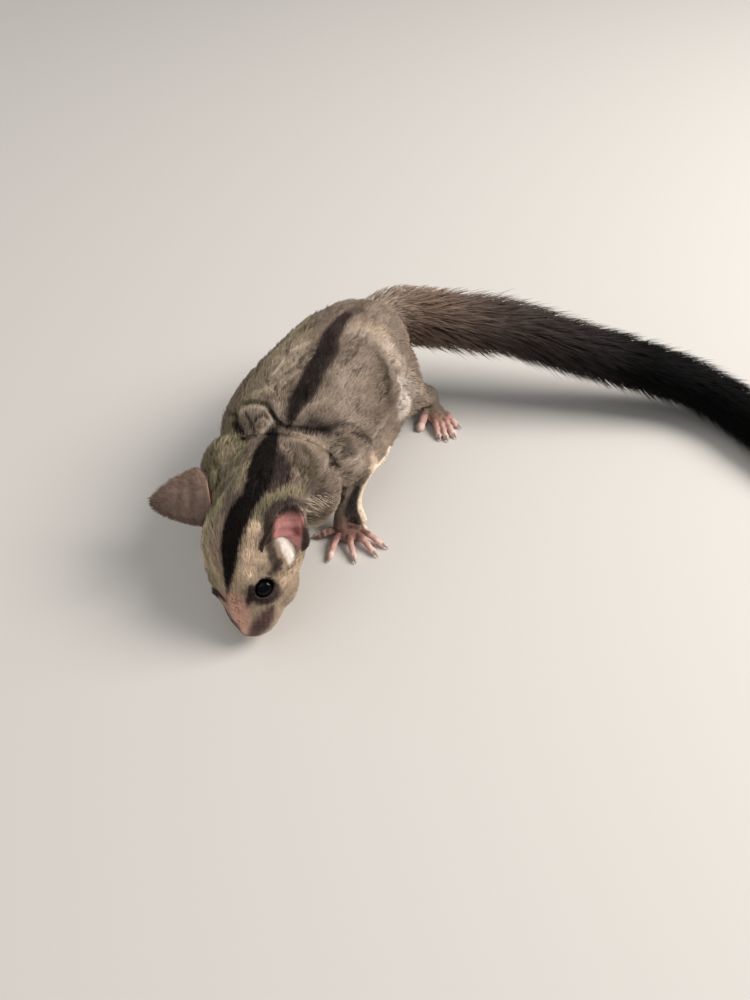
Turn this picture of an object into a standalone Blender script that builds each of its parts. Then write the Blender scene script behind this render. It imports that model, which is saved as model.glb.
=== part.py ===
"""A sugar glider at life size, standing with its nose to the ground and its tail swept to its left.

Lengths are millimetres in the named sizes below and become metres where a mesh is made. The layout
has +Z up and the floor at zero. The animal faces -Y and +X is the side of its left limbs.
"""

import math
import random

import bmesh
import bpy
import numpy as np
from mathutils import Matrix, Vector

MM = 0.001
FLOOR_CENTRE = Vector((45.27, 189.17, 0.0))  # the layout's point that becomes the origin
GAP = 0.3  # between one node and the next
FLOOR_CLEAR = 0.35
UP = Vector((0, 0, 1))
ROUND_END = [(0.5, 0.866), (0.85, 0.527), (0.98, 0.2)]  # how a tube's end closes, in radii

# The head's own axes start at the nose tip: back along the skull, left and up.
NOSE_TIP = Vector((-38.9, 125.2, 7.2))
HEAD_YAW, HEAD_PITCH, HEAD_ROLL, HEAD_LEAN = -18.0, 32.3, -24.0, -10.0
HEAD_TURN = (
    Matrix.Rotation(math.radians(HEAD_ROLL), 3, "Y")
    @ Matrix.Rotation(math.radians(HEAD_PITCH), 3, "X")
    @ Matrix.Rotation(math.radians(HEAD_YAW), 3, "Z")
    @ Matrix.Rotation(math.radians(HEAD_LEAN), 3, "Y")
)
HEAD_LEFT, HEAD_BACK, HEAD_UP = (HEAD_TURN @ axis for axis in Matrix.Identity(3))


def in_head(back, left, up):
    """A point of the head's own axes in the layout."""
    return NOSE_TIP + HEAD_BACK * back + HEAD_LEFT * left + HEAD_UP * up


# Head sections: back, height of the centre, half width, rise above and drop below the centre.
HEAD_SECTIONS = [
    (-0.7, -1.2, 0.7, 0.6, 0.8),
    (-0.1, -1.4, 3.0, 2.2, 2.4),
    (1.2, -1.8, 5.2, 3.9, 4.0),
    (3.0, -2.2, 7.3, 5.3, 5.1),
    (5.5, -2.2, 9.0, 6.5, 6.1),
    (9.0, -2.0, 10.7, 8.2, 7.4),
    (13.0, -1.4, 12.0, 10.2, 8.8),
    (17.0, -0.8, 13.8, 12.0, 10.0),
    (21.5, -0.2, 16.0, 13.4, 11.2),
    (27.0, 0.4, 17.6, 14.2, 12.2),
    (33.0, 0.8, 17.4, 14.0, 12.8),
    (39.0, 0.4, 16.6, 13.2, 13.0),
    (45.0, -1.6, 16.0, 12.8, 13.0),
    (51.0, -5.6, 15.6, 12.0, 12.0),
    (57.0, -10.0, 13.0, 9.0, 9.0),
]
EYE_RADIUS = 3.8
EYE_PLACE = (15.2, 7.7, 3.9)
EYE_FACING = (-0.05, 0.68, 0.73)
EYE_SLANT = (0.86, 0.45, -0.2)  # from the inner corner of the lids to the outer one
LID_WALL = 0.7
LID_OPENING = (3.4, 2.8, 2.6)  # half length, half height and depth of the space between the lids
CHEEK = ((17.0, 8.3, -3.8), (8.5, 5.8, 6.0))
BROW = ((18.0, 6.4, 8.0), (5.0, 3.4, 3.0))
MOUTH_LINE = [(0.6, 0.0, -3.6), (2.4, 3.6, -3.6), (5.5, 6.6, -3.8), (9.5, 9.0, -3.6), (12.5, 11.0, -2.8)]
LIP_RAISE = 1.25  # from the mouth's line to the middle of each lip
# Height above the mouth's line, half width and depth of each pressed line. The lips rise.
MOUTH_STROKES = [(LIP_RAISE, 1.5, -0.4), (-LIP_RAISE, 1.5, -0.4), (0.0, 1.3, 1.0)]
NOSE_PAD = ((0.6, 0.0, 0.2), (1.5, 2.4, 1.6))
NOSTRIL = ((-0.45, 1.45, 0.2), (0.95, 0.62, 0.5))
NOSTRIL_FACING = (-0.5, 1.0, -0.1)

# Trunk sections from the chest to the rump: x, y, z of the centre, half width, rise and drop.
TRUNK_SECTIONS = [
    (-36.0, 157.5, 31.5, 12.8, 11.0, 11.5),
    (-34.0, 166.0, 30.0, 15.0, 13.0, 13.5),
    (-31.0, 174.5, 29.5, 17.5, 15.0, 16.0),
    (-29.4, 184.0, 30.5, 23.2, 18.5, 18.5),
    (-24.0, 195.0, 32.0, 24.2, 21.0, 20.5),
    (-16.4, 207.0, 33.0, 23.6, 22.0, 21.5),
    (-10.0, 219.0, 33.0, 22.8, 21.5, 21.0),
    (-3.5, 229.5, 33.0, 18.0, 19.0, 18.5),
    (1.5, 238.0, 33.5, 13.5, 15.0, 14.5),
    (5.0, 244.0, 35.0, 9.5, 9.5, 9.0),
    (7.0, 247.5, 36.5, 4.0, 4.5, 4.0),
]
TRUNK_LEFT_FRONT = Vector((0.95, -0.30, 0.06))
TRUNK_LEFT_REAR = Vector((0.85, -0.53, 0.0))
NECK_CUT = 39.0  # back along the head's axis
CHEST_CUT = 2.5  # section number on the trunk
# Loose skin beside the neck: centre and radii.
SCRUFF = [
    ((-45.5, 171.0, 30.5), (10.5, 14.0, 11.0)),
    ((-52.0, 162.0, 32.5), (5.5, 7.0, 5.5)),
    ((-21.0, 170.0, 23.5), (10.5, 12.5, 13.5)),
]

# Limbs: x, y, z and radius along each bone. The last point of each is the wrist or the ankle.
FORELEG_LEFT = [
    (-19.0, 181.0, 27.0, 11.5),
    (-12.8, 181.5, 23.5, 9.4),
    (-7.4, 182.6, 18.5, 6.0),
    (-7.4, 180.6, 14.8, 4.0),
    (-8.8, 177.2, 12.0, 3.3),
    (-10.6, 173.4, 8.6, 2.9),
    (-11.5, 170.8, 5.2, 2.7),
    (-11.7, 169.6, 3.8, 2.6),
]
FORELEG_RIGHT = [
    (-36.0, 184.0, 27.0, 12.0),
    (-42.0, 181.0, 25.0, 11.0),
    (-45.0, 179.6, 20.0, 7.6),
    (-45.5, 179.0, 14.8, 4.4),
    (-44.4, 177.6, 11.0, 3.4),
    (-43.0, 175.2, 7.6, 2.9),
    (-42.4, 173.2, 5.2, 2.7),
    (-42.2, 172.0, 3.8, 2.6),
]
HINDLEG_LEFT = [
    (-3.0, 233.0, 33.0, 12.5),
    (3.0, 229.0, 28.0, 12.0),
    (8.6, 224.5, 21.5, 9.6),
    (12.0, 224.5, 15.5, 6.8),
    (17.5, 228.5, 10.5, 4.6),
    (21.0, 232.0, 6.8, 3.7),
    (21.8, 231.0, 4.6, 3.4),
]
HINDLEG_RIGHT = [
    (-9.0, 238.0, 33.0, 12.5),
    (-16.0, 238.0, 28.0, 12.0),
    (-22.0, 236.5, 21.5, 9.6),
    (-24.5, 239.0, 15.5, 6.8),
    (-22.5, 243.5, 10.5, 4.6),
    (-20.5, 247.0, 6.8, 3.7),
    (-21.4, 246.2, 4.6, 3.4),
]

# A paw lies forward of its wrist and to the animal's left of it. Each digit holds the forward and
# leftward places of its root and its tip, and its radius. A right paw mirrors them.
HAND_DIGITS = [
    ((2.0, -2.2), (1.6, -10.6), 1.15),
    ((3.4, -1.6), (13.1, -6.6), 1.0),
    ((4.4, 1.6), (15.2, 2.4), 1.0),
    ((4.2, 4.4), (13.9, 10.3), 1.0),
    ((3.4, 6.2), (11.0, 14.3), 0.95),
]
FOOT_DIGITS = [
    ((3.0, -2.0), (9.9, -7.7), 1.5),
    ((9.5, -1.8), (18.6, -3.1), 1.0),
    ((10.0, 0.0), (20.1, -0.5), 1.0),
    ((9.6, 1.8), (19.7, 3.1), 1.2),
    ((8.0, 3.0), (15.4, 7.2), 1.15),
]
HAND = dict(sole=(3.0, 2.4), palm=(3.8, 5.2, 2.0), digits=HAND_DIGITS, clawless=None)
FOOT = dict(sole=(5.0, 0.2), palm=(7.4, 4.0, 2.4), digits=FOOT_DIGITS, clawless=0)
CLAW_LENGTH = 2.2
# Along a digit: share of its length, height of its middle and share of its radius.
DIGIT_SHAPE = [(-0.15, 2.2, 1.3), (0.3, 2.9, 1.2), (0.62, 2.3, 1.0), (0.9, 1.2, 1.1), (1.0, 1.1, 1.0)]
# Along a claw: distance beyond the digit's end, height and radius.
CLAW_SHAPE = [(-0.4, 1.5, 0.7), (0.9, 1.7, 0.6), (1.7, 1.2, 0.5), (2.2, 0.5, 0.36)]
PAWS = {
    "hand_left": (HAND, FORELEG_LEFT, -80.0, 1.0),
    "hand_right": (HAND, FORELEG_RIGHT, -100.0, -1.0),
    "foot_left": (FOOT, HINDLEG_LEFT, -68.5, 1.0),
    "foot_right": (FOOT, HINDLEG_RIGHT, -140.0, -1.0),
}

# The gliding membrane from the wrist along the flank to the ankle: attached edge, then free edge.
MEMBRANE_LEFT = [
    ((-8.0, 170.6, 4.6), (-1.9, 169.4, 3.0)),
    ((-9.4, 172.6, 6.8), (-3.1, 171.4, 5.2)),
    ((-9.6, 174.6, 8.8), (-4.4, 173.6, 7.2)),
    ((-9.0, 177.0, 11.4), (-4.6, 176.4, 10.2)),
    ((-6.0, 180.4, 15.6), (-2.8, 180.0, 14.2)),
    ((-3.6, 184.0, 20.5), (0.4, 183.6, 17.6)),
    ((-2.4, 189.0, 24.0), (3.0, 189.6, 15.4)),
    ((-2.0, 196.0, 26.0), (4.8, 196.4, 13.5)),
    ((0.0, 203.5, 27.0), (7.6, 204.0, 13.0)),
    ((3.0, 210.0, 27.0), (10.2, 210.6, 13.0)),
    ((7.0, 215.5, 26.0), (14.4, 217.2, 13.6)),
    ((11.0, 220.0, 23.0), (18.2, 223.4, 13.0)),
    ((15.0, 225.0, 16.0), (21.2, 227.6, 9.6)),
    ((18.0, 229.0, 10.0), (22.6, 230.6, 7.0)),
]
MEMBRANE_RIGHT = [
    ((-45.6, 173.4, 4.6), (-50.0, 173.8, 3.6)),
    ((-46.4, 175.8, 7.2), (-51.0, 176.2, 5.8)),
    ((-47.6, 178.2, 10.0), (-52.0, 178.8, 8.2)),
    ((-48.8, 181.0, 14.6), (-53.0, 182.0, 12.0)),
    ((-48.0, 185.0, 20.5), (-53.4, 186.6, 15.0)),
    ((-45.0, 190.0, 24.0), (-52.4, 192.4, 15.0)),
    ((-42.0, 197.0, 26.0), (-50.6, 200.0, 14.0)),
    ((-38.5, 204.5, 27.0), (-47.8, 208.4, 13.5)),
    ((-35.0, 212.5, 27.0), (-44.8, 217.0, 13.5)),
    ((-31.0, 220.5, 27.0), (-40.6, 225.4, 13.6)),
    ((-27.5, 228.0, 24.0), (-35.8, 232.8, 13.0)),
    ((-26.0, 235.0, 17.0), (-31.4, 239.4, 10.0)),
    ((-25.0, 241.0, 11.0), (-28.0, 243.8, 7.6)),
]
MEMBRANE_THICKNESS = 2.4
MEMBRANE_RIM = 1.2  # how much wider the sheet is than its two edges are apart

# The tail: x, y, z and the coat's radius. Its last quarter lies on the floor.
TAIL_PATH = [
    (-9.0, 232.0, 34.5, 8.5),
    (1.0, 240.0, 36.2, 9.8),
    (7.0, 242.5, 37.0, 10.9),
    (14.7, 242.0, 37.2, 11.8),
    (27.7, 240.8, 36.4, 12.2),
    (48.6, 241.2, 33.0, 11.8),
    (73.5, 238.1, 26.8, 11.4),
    (102.8, 234.3, 19.4, 10.8),
    (121.3, 230.6, 14.2, 10.2),
    (135.0, 222.5, 11.0, 9.8),
    (145.0, 209.5, 9.1, 8.8),
    (151.0, 197.0, 7.4, 7.0),
    (153.6, 186.0, 5.4, 5.0),
    (153.9, 178.0, 2.6, 1.6),
]
TAIL_RINGS = {"tail_root": (0, 4), "tail_middle": (4, 8), "tail_tip": (8, 12)}  # rings of locks on each
CORE_SHARE = 0.46  # of the coat's radius
ROOT_SHARE, ROOT_START, ROOT_FADE = 0.96, 24.0, 22.0  # the hair is short where the tail leaves the body
# Locks of the tail's hair: rings every so far along it, each lock's length, width and thickness.
LOCKS_FROM, LOCK_SPACING, LOCKS_ROUND, LOCKS_ROUND_TIP = 15.0, 15.5, 5, 4
LOCK_LENGTH, LOCK_WIDTH, LOCK_THICKNESS = 27.0, 11.0, 1.8
# Along a lock from root to tip: share of its length, its width, its thickness and the coat's depth.
LOCK_SHAPE = [(0.0, 0.6, 1.0, -0.2), (0.27, 1.0, 1.0, 0.66), (0.66, 0.9, 0.9, 0.93)]
ROOT_MARGIN = 2.0  # from the cut between two lengths of the tail to the next ring
CORE_STEP = 6.0
LOCK_TURN, LOCK_SHIFT = 0.14, 0.06  # radians that a lock may wander round the tail
LOCK_LONG, LOCK_WIDE = (0.92, 1.1), (0.92, 1.06)  # how much each may differ in size
LOCK_START = 0.4
# Where the coat is thinner than this radius, the locks are shorter, down to this share.
LOCK_FULL_RADIUS, LOCK_LEAST = 9.0, 0.45
LOCK_HOLLOW = 24.0  # a lock's flat section bends with the coat: width squared over this
LOCK_SEED = 11

# Ears: base on the head, direction of the tip, facing of the opening, length and half width.
EAR_LEFT = ((29.2, 15.9, 4.0), (0.74, 0.396, 0.539), (-0.593, 0.528, 0.597), 15.0, 7.0)
EAR_RIGHT = ((38.2, -10.8, 12.0), (-0.046, -0.95, 0.289), (0.423, -0.174, -0.883), 19.5, 9.2)
EAR_WALL = 0.8
EAR_RINGS, EAR_COLUMNS = 10, 12
EAR_ROOT, EAR_FLARE = 0.7, 0.25  # the root's share of the width, and where along the ear it is full
EAR_TAPER, EAR_ROUNDING, EAR_TIP = 1.8, 0.62, 0.2  # how it narrows to the tip, and the tip's share
EAR_WRAP, EAR_OPENING = 108.0, 60.0  # degrees that each side curls at the root, and fewer at the tip
EAR_DEPTH = 0.75  # of a round cup's
EAR_SUNK = 0.1  # of the ear's length, inside the head
EAR_SETTLING = 1.5  # how fast the ear's sides rise from the skull towards the tip
# The furred mound in front of the left ear, which the right side mirrors: back, left, up and radius.
EAR_MOUND = [(30.0, 13.6, 6.0, 1.6), (27.5, 14.0, 6.0, 2.4), (25.0, 14.0, 5.6, 2.4), (22.6, 13.6, 5.0, 1.6)]

SPINE_VOXEL, LIMB_VOXEL, PAW_VOXEL = 0.7, 0.6, 0.36
SPINE_SMOOTHING, LEG_SMOOTHING = 12, 2
WELD = 1e-7  # metres
SPINE_SIDES, MEMBRANE_SIDES = 36, 14
HEAD_FACES, BODY_FACES = 6000, 2300  # for the whole spine, before it is cut
LEG_FACES, PAW_FACES, MEMBRANE_FACES = 340, 520, 340

COLOURS = {
    "grey_fur": ((0.27, 0.23, 0.19), 0.85),
    "face_fur": ((0.38, 0.32, 0.24), 0.85),
    "tail_fur": ((0.13, 0.095, 0.075), 0.85),
    "pink_skin": ((0.62, 0.38, 0.33), 0.5),
    "eye": ((0.01, 0.008, 0.01), 0.08),
}


def clear_scene():
    """Removes every object that the file opened with."""
    for found in list(bpy.data.objects):
        bpy.data.objects.remove(found, do_unlink=True)


def material(slot):
    """The Principled material of one finish."""
    made = bpy.data.materials.get(slot)
    if made is None:
        colour, roughness = COLOURS[slot]
        made = bpy.data.materials.new(slot)
        made.use_nodes = True
        shader = made.node_tree.nodes["Principled BSDF"]
        shader.inputs["Base Color"].default_value = (*colour, 1.0)
        shader.inputs["Roughness"].default_value = roughness
        shader.inputs["Metallic"].default_value = 0.0
    return made


def new_object(name, mesh):
    """Links a mesh to the animal's collection under a name."""
    made = bpy.data.objects.new(name, mesh)
    ANIMAL.objects.link(made)
    return made


def face_out(form):
    """Turns the faces of a closed bmesh outward."""
    form.normal_update()
    bmesh.ops.recalc_face_normals(form, faces=form.faces)
    if form.calc_volume(signed=True) < 0:
        bmesh.ops.reverse_faces(form, faces=form.faces)


def object_of(name, form):
    """Turns a closed bmesh into an object, with its faces pointing out."""
    face_out(form)
    mesh = bpy.data.meshes.new(name)
    form.to_mesh(mesh)
    form.free()
    return new_object(name, mesh)


def in_metres(point):
    """A layout point in millimetres as a point of the model in metres."""
    return (Vector(point) - FLOOR_CENTRE) * MM


def through(rows, steps):
    """Rows of numbers joined by a smooth curve, with so many steps between one row and the next."""
    rows = np.array(rows, float)
    ends = np.vstack([2 * rows[0] - rows[1], rows, 2 * rows[-1] - rows[-2]])
    made = []
    for i in range(len(rows) - 1):
        a, b, c, d = ends[i : i + 4]
        for t in np.arange(steps) / steps:
            square, cube = 2 * a - 5 * b + 4 * c - d, 3 * b - a - 3 * c + d
            made.append((2 * b + (c - a) * t + square * t**2 + cube * t**3) / 2)
    return np.array([*made, rows[-1]])


def loft(name, centres, lefts, halves, sides=28):
    """A closed tube through unlike sections. halves holds half width, rise and drop at each centre."""
    form = bmesh.new()
    tangents = np.gradient(centres, axis=0)
    rings = []
    for centre, tangent, left, (width, rise, drop) in zip(centres, tangents, lefts, halves):
        along = Vector(tangent).normalized()
        side = Vector(left)
        side = (side - along * side.dot(along)).normalized()
        top = side.cross(along)
        ring = []
        for k in range(sides):
            angle = math.tau * k / sides
            height = math.sin(angle) * (rise if math.sin(angle) > 0 else drop)
            point = Vector(centre) + side * math.cos(angle) * width + top * height
            ring.append(form.verts.new(in_metres(point)))
        rings.append(ring)
    for first, second in zip(rings, rings[1:]):
        for k in range(sides):
            form.faces.new((first[k], first[k - 1], second[k - 1], second[k]))
    form.faces.new(rings[0])
    form.faces.new(rings[-1])
    return object_of(name, form)


def tube(name, rows, steps=4, bevel=3):
    """A round tube along a curve whose rows hold x, y, z and radius, with rounded ends."""
    rows = through(rows, steps)
    first, last = rows[0], rows[-1]
    start = Vector(first[:3] - rows[1][:3]).normalized()
    end = Vector(last[:3] - rows[-2][:3]).normalized()
    before = [(Vector(first[:3]) + start * first[3] * out, first[3] * share) for out, share in ROUND_END]
    after = [(Vector(last[:3]) + end * last[3] * out, last[3] * share) for out, share in ROUND_END]
    middle = [(Vector(row[:3]), row[3]) for row in rows]
    curve = bpy.data.curves.new(name, "CURVE")
    curve.dimensions = "3D"
    curve.bevel_depth = MM
    curve.bevel_resolution = bevel
    curve.use_fill_caps = True
    points = [*reversed(before), *middle, *after]
    line = curve.splines.new("POLY")
    line.points.add(len(points) - 1)
    for point, (place, radius) in zip(line.points, points):
        point.co = (*in_metres(place), 1)
        point.radius = radius
    guide = new_object(name + "_guide", curve)
    mesh = evaluated_mesh(guide)
    bpy.data.objects.remove(guide)
    form = bmesh.new()
    form.from_mesh(mesh)
    bmesh.ops.remove_doubles(form, verts=form.verts, dist=WELD)
    return object_of(name, form)


def ellipsoid(name, centre, radii, axes=(Vector((1, 0, 0)), Vector((0, 1, 0)), UP), segments=28):
    """A stretched ball. axes are the directions of its three radii."""
    form = bmesh.new()
    bmesh.ops.create_uvsphere(form, u_segments=segments, v_segments=segments // 2, radius=1.0)
    turn = Matrix([axis * radius * MM for axis, radius in zip(axes, radii)]).transposed()
    for vertex in form.verts:
        vertex.co = turn @ vertex.co + in_metres(centre)
    return object_of(name, form)


def evaluated_mesh(source):
    """The mesh of an object with its modifiers applied."""
    graph = bpy.context.evaluated_depsgraph_get()
    graph.update()
    return bpy.data.meshes.new_from_object(source.evaluated_get(graph))


def apply_modifiers(target):
    """Bakes an object's modifiers into its mesh."""
    made = evaluated_mesh(target)
    target.modifiers.clear()
    target.data = made


def fuse(name, pieces, voxel, smoothing, faces):
    """Joins overlapping closed pieces into one smooth skin of about so many triangles."""
    form = bmesh.new()
    for piece in pieces:
        form.from_mesh(piece.data)
        bpy.data.objects.remove(piece)
    fused = object_of(name, form)
    remesh = fused.modifiers.new("fuse", "REMESH")
    remesh.mode = "VOXEL"
    remesh.voxel_size = voxel * MM
    soften = fused.modifiers.new("soften", "SMOOTH")
    soften.factor = 0.5
    soften.iterations = smoothing
    apply_modifiers(fused)
    if faces:
        thin_out(fused, faces)
    return fused


def thin_out(target, faces, keep=None):
    """Reduces a mesh to about so many triangles. keep gives vertices to thin less, as weights."""
    present = sum(len(face.vertices) - 2 for face in target.data.polygons)
    thinner = target.modifiers.new("thin", "DECIMATE")
    thinner.ratio = min(1.0, faces / present)
    thinner.use_collapse_triangulate = True
    if keep is not None:
        group = target.vertex_groups.new(name="open")
        for index, weight in enumerate(keep):
            group.add([index], float(weight), "REPLACE")
        thinner.vertex_group = group.name
        thinner.vertex_group_factor = 1.0
    apply_modifiers(target)
    target.vertex_groups.clear()


def wrist_plane(limb):
    """The plane between a leg and its paw: a point and the direction of the leg's side."""
    wrist = Vector(limb[-2][:3])
    return wrist, (Vector(limb[-3][:3]) - wrist).normalized() + UP * 1.5


def boolean(target, other, operation, solver="MANIFOLD"):
    """Applies one Boolean of another object to target, and removes the other object."""
    step = target.modifiers.new(operation.lower(), "BOOLEAN")
    step.operation = operation
    step.solver = solver
    step.object = other
    apply_modifiers(target)
    bpy.data.objects.remove(other)


def largest_part(target):
    """Keeps only the largest closed surface of a mesh."""
    form = bmesh.new()
    form.from_mesh(target.data)
    bmesh.ops.remove_doubles(form, verts=form.verts, dist=WELD)
    unseen = set(form.verts)
    groups = []
    while unseen:
        todo, group = [unseen.pop()], []
        while todo:
            vertex = todo.pop()
            group.append(vertex)
            for edge in vertex.link_edges:
                other = edge.other_vert(vertex)
                if other in unseen:
                    unseen.remove(other)
                    todo.append(other)
        groups.append(group)
    for group in sorted(groups, key=len)[:-1]:
        bmesh.ops.delete(form, geom=group, context="VERTS")
    form.to_mesh(target.data)
    form.free()


def swollen_copy(source, by=GAP):
    """A copy of a solid grown by a distance in millimetres, to carve its neighbours clear."""
    copy = new_object(source.name + "_swollen", source.data.copy())
    grow = copy.modifiers.new("grow", "DISPLACE")
    grow.mid_level = 0.0
    grow.strength = by * MM
    apply_modifiers(copy)
    return copy


def carve(target, *neighbours):
    """Cuts the neighbours from target, leaving the gap between them."""
    for neighbour in neighbours:
        boolean(target, swollen_copy(neighbour), "DIFFERENCE")
    largest_part(target)


def keep_side(target, point, outward):
    """Keeps what lies behind the plane at point, less half the gap, and caps the cut."""
    outward = outward.normalized()
    form = bmesh.new()
    form.from_mesh(target.data)
    plane = in_metres(point - outward * (GAP / 2))
    whole = [*form.verts, *form.edges, *form.faces]
    bmesh.ops.bisect_plane(form, geom=whole, dist=1e-8, plane_co=plane, plane_no=outward, clear_outer=True)
    rim = [edge for edge in form.edges if edge.is_boundary]
    caps = bmesh.ops.holes_fill(form, edges=rim, sides=0)["faces"]
    bmesh.ops.triangulate(form, faces=caps)
    face_out(form)
    form.to_mesh(target.data)
    form.free()
    largest_part(target)


def flat_feet(target):
    """Cuts the underside of a paw or tail flat at floor level."""
    keep_side(target, UP * (-GAP / 2), -UP)


def finish(target, slot, smooth_angle=50):
    """Gives a node its material and its shading."""
    target.data.materials.clear()
    target.data.materials.append(material(slot))
    target.data.shade_smooth()
    target.data.set_sharp_from_angle(angle=math.radians(smooth_angle))


def stroke(target, path, radius, depth):
    """Presses a groove into a mesh along a line, or raises a ridge where depth is negative."""
    count = len(target.data.vertices)
    points, normals = np.empty(count * 3, np.float32), np.empty(count * 3, np.float32)
    target.data.vertices.foreach_get("co", points)
    target.data.vertices.foreach_get("normal", normals)
    points, normals = points.reshape(-1, 3).astype(float), normals.reshape(-1, 3).astype(float)
    path = np.array([in_metres(p) for p in path])
    nearest = np.full(count, 1e9)
    for a, b in zip(path, path[1:]):
        share = np.clip((points - a) @ (b - a) / max((b - a) @ (b - a), 1e-12), 0, 1)
        nearest = np.minimum(nearest, np.linalg.norm(points - a - share[:, None] * (b - a), axis=1))
    fall = np.clip(1 - (nearest / (radius * MM)) ** 2, 0, 1) ** 2
    points -= normals * (fall * depth * MM)[:, None]
    target.data.vertices.foreach_set("co", points.astype(np.float32).ravel())
    target.data.update()


def head_pieces():
    """The closed forms that make the head: skull and muzzle, cheeks, brows and nose pad."""
    rows = through(HEAD_SECTIONS, 4)
    centres = np.array([in_head(back, 0, up) for back, up, *_ in rows])
    pieces = [loft("skull", centres, [HEAD_LEFT] * len(rows), rows[:, 2:], SPINE_SIDES)]
    axes = (HEAD_BACK, HEAD_LEFT, HEAD_UP)
    pieces.append(ellipsoid("nose_pad", in_head(*NOSE_PAD[0]), NOSE_PAD[1], axes))
    for side in (1, -1):
        for (back, left, up), radii in (CHEEK, BROW):
            pieces.append(ellipsoid("pad", in_head(back, left * side, up), radii, axes))
        back, left, up = EYE_PLACE
        lid = [EYE_RADIUS + GAP + LID_WALL] * 3
        pieces.append(ellipsoid("lid", in_head(back, left * side, up), lid, axes))
        mound = [(*in_head(back, left * side, up), radius) for back, left, up, radius in EAR_MOUND]
        pieces.append(tube("mound", mound))
    return pieces


def trunk_rows():
    """Centres, left axes and half sizes of the trunk, from the chest to the rump."""
    rows = through(TRUNK_SECTIONS, 4)
    shares = np.linspace(0, 1, len(rows))[:, None]
    lefts = (1 - shares) * np.array(TRUNK_LEFT_FRONT) + shares * np.array(TRUNK_LEFT_REAR)
    return rows[:, :3], lefts, rows[:, 3:]


def make_spine():
    """Head, neck and torso, fused as one and parted by two thin cuts, and the eyes."""
    pieces = [*head_pieces(), loft("trunk", *trunk_rows(), SPINE_SIDES)]
    pieces += [ellipsoid("scruff", centre, radii) for centre, radii in SCRUFF]
    whole = fuse("whole", pieces, SPINE_VOXEL, SPINE_SMOOTHING, 0)
    for side in (1, -1):
        for rise, radius, depth in MOUTH_STROKES:
            line = [in_head(back, left * side, up + rise) for back, left, up in MOUTH_LINE]
            stroke(whole, line, radius, depth)
    steps = 10
    rows = through(TRUNK_SECTIONS, steps)
    chest = Vector(rows[int(CHEST_CUT * steps)][:3])
    backward = Vector(rows[int(CHEST_CUT * steps) + 1][:3]) - chest
    neck_point = in_head(NECK_CUT, 0, 0)
    head = part_of(whole, "head", HEAD_FACES, [])
    eyes = make_eyes(head)
    keep_side(head, neck_point, HEAD_BACK)
    keep_side(head, chest, backward)
    neck = part_of(whole, "neck", BODY_FACES, [(neck_point, -HEAD_BACK), (chest, backward)])
    torso = part_of(whole, "torso", BODY_FACES, [(chest, -backward)])
    bpy.data.objects.remove(whole)
    return head, neck, torso, eyes


def part_of(whole, name, faces, planes):
    """A copy of the spine with so many triangles, cut to what lies behind each plane."""
    part = new_object(name, whole.data.copy())
    thin_out(part, faces)
    for point, outward in planes:
        keep_side(part, point, outward)
    return part


def head_direction(back, left, up):
    """A unit vector of the head's own axes in the layout."""
    return (HEAD_BACK * back + HEAD_LEFT * left + HEAD_UP * up).normalized()


def make_eyes(whole):
    """Two eyeballs, each in a socket behind two lids, and the nostrils."""
    eyes = []
    for name, side in (("eye_left", 1), ("eye_right", -1)):
        back, left, up = EYE_PLACE
        centre = in_head(back, left * side, up)
        facing = head_direction(EYE_FACING[0], EYE_FACING[1] * side, EYE_FACING[2])
        slant = head_direction(EYE_SLANT[0], EYE_SLANT[1] * side, EYE_SLANT[2])
        slant = (slant - facing * slant.dot(facing)).normalized()
        socket = ellipsoid("socket", centre, (EYE_RADIUS + GAP,) * 3, segments=20)
        axes = (slant, facing.cross(slant), facing)
        opening = ellipsoid("opening", centre + facing * EYE_RADIUS, LID_OPENING, axes, segments=18)
        boolean(socket, opening, "UNION")
        boolean(whole, socket, "DIFFERENCE")
        eyes.append(ellipsoid(name, centre, (EYE_RADIUS,) * 3, segments=18))
        (back, left, up), radii = NOSTRIL
        outward = head_direction(NOSTRIL_FACING[0], NOSTRIL_FACING[1] * side, NOSTRIL_FACING[2])
        along = outward.cross(HEAD_UP).normalized()
        axes = (outward, along, along.cross(outward))
        nostril = ellipsoid("nostril", in_head(back, left * side, up), radii, axes, segments=10)
        boolean(whole, nostril, "DIFFERENCE")
    largest_part(whole)
    return eyes


def ear_width(height):
    """The share of an ear's half width at a share of its height: a narrower root and a rounded tip."""
    root = EAR_ROOT + (1 - EAR_ROOT) * math.sin(min(height / EAR_FLARE, 1.0) * math.pi / 2)
    return max(root * (1 - height**EAR_TAPER) ** EAR_ROUNDING, EAR_TIP)


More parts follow.
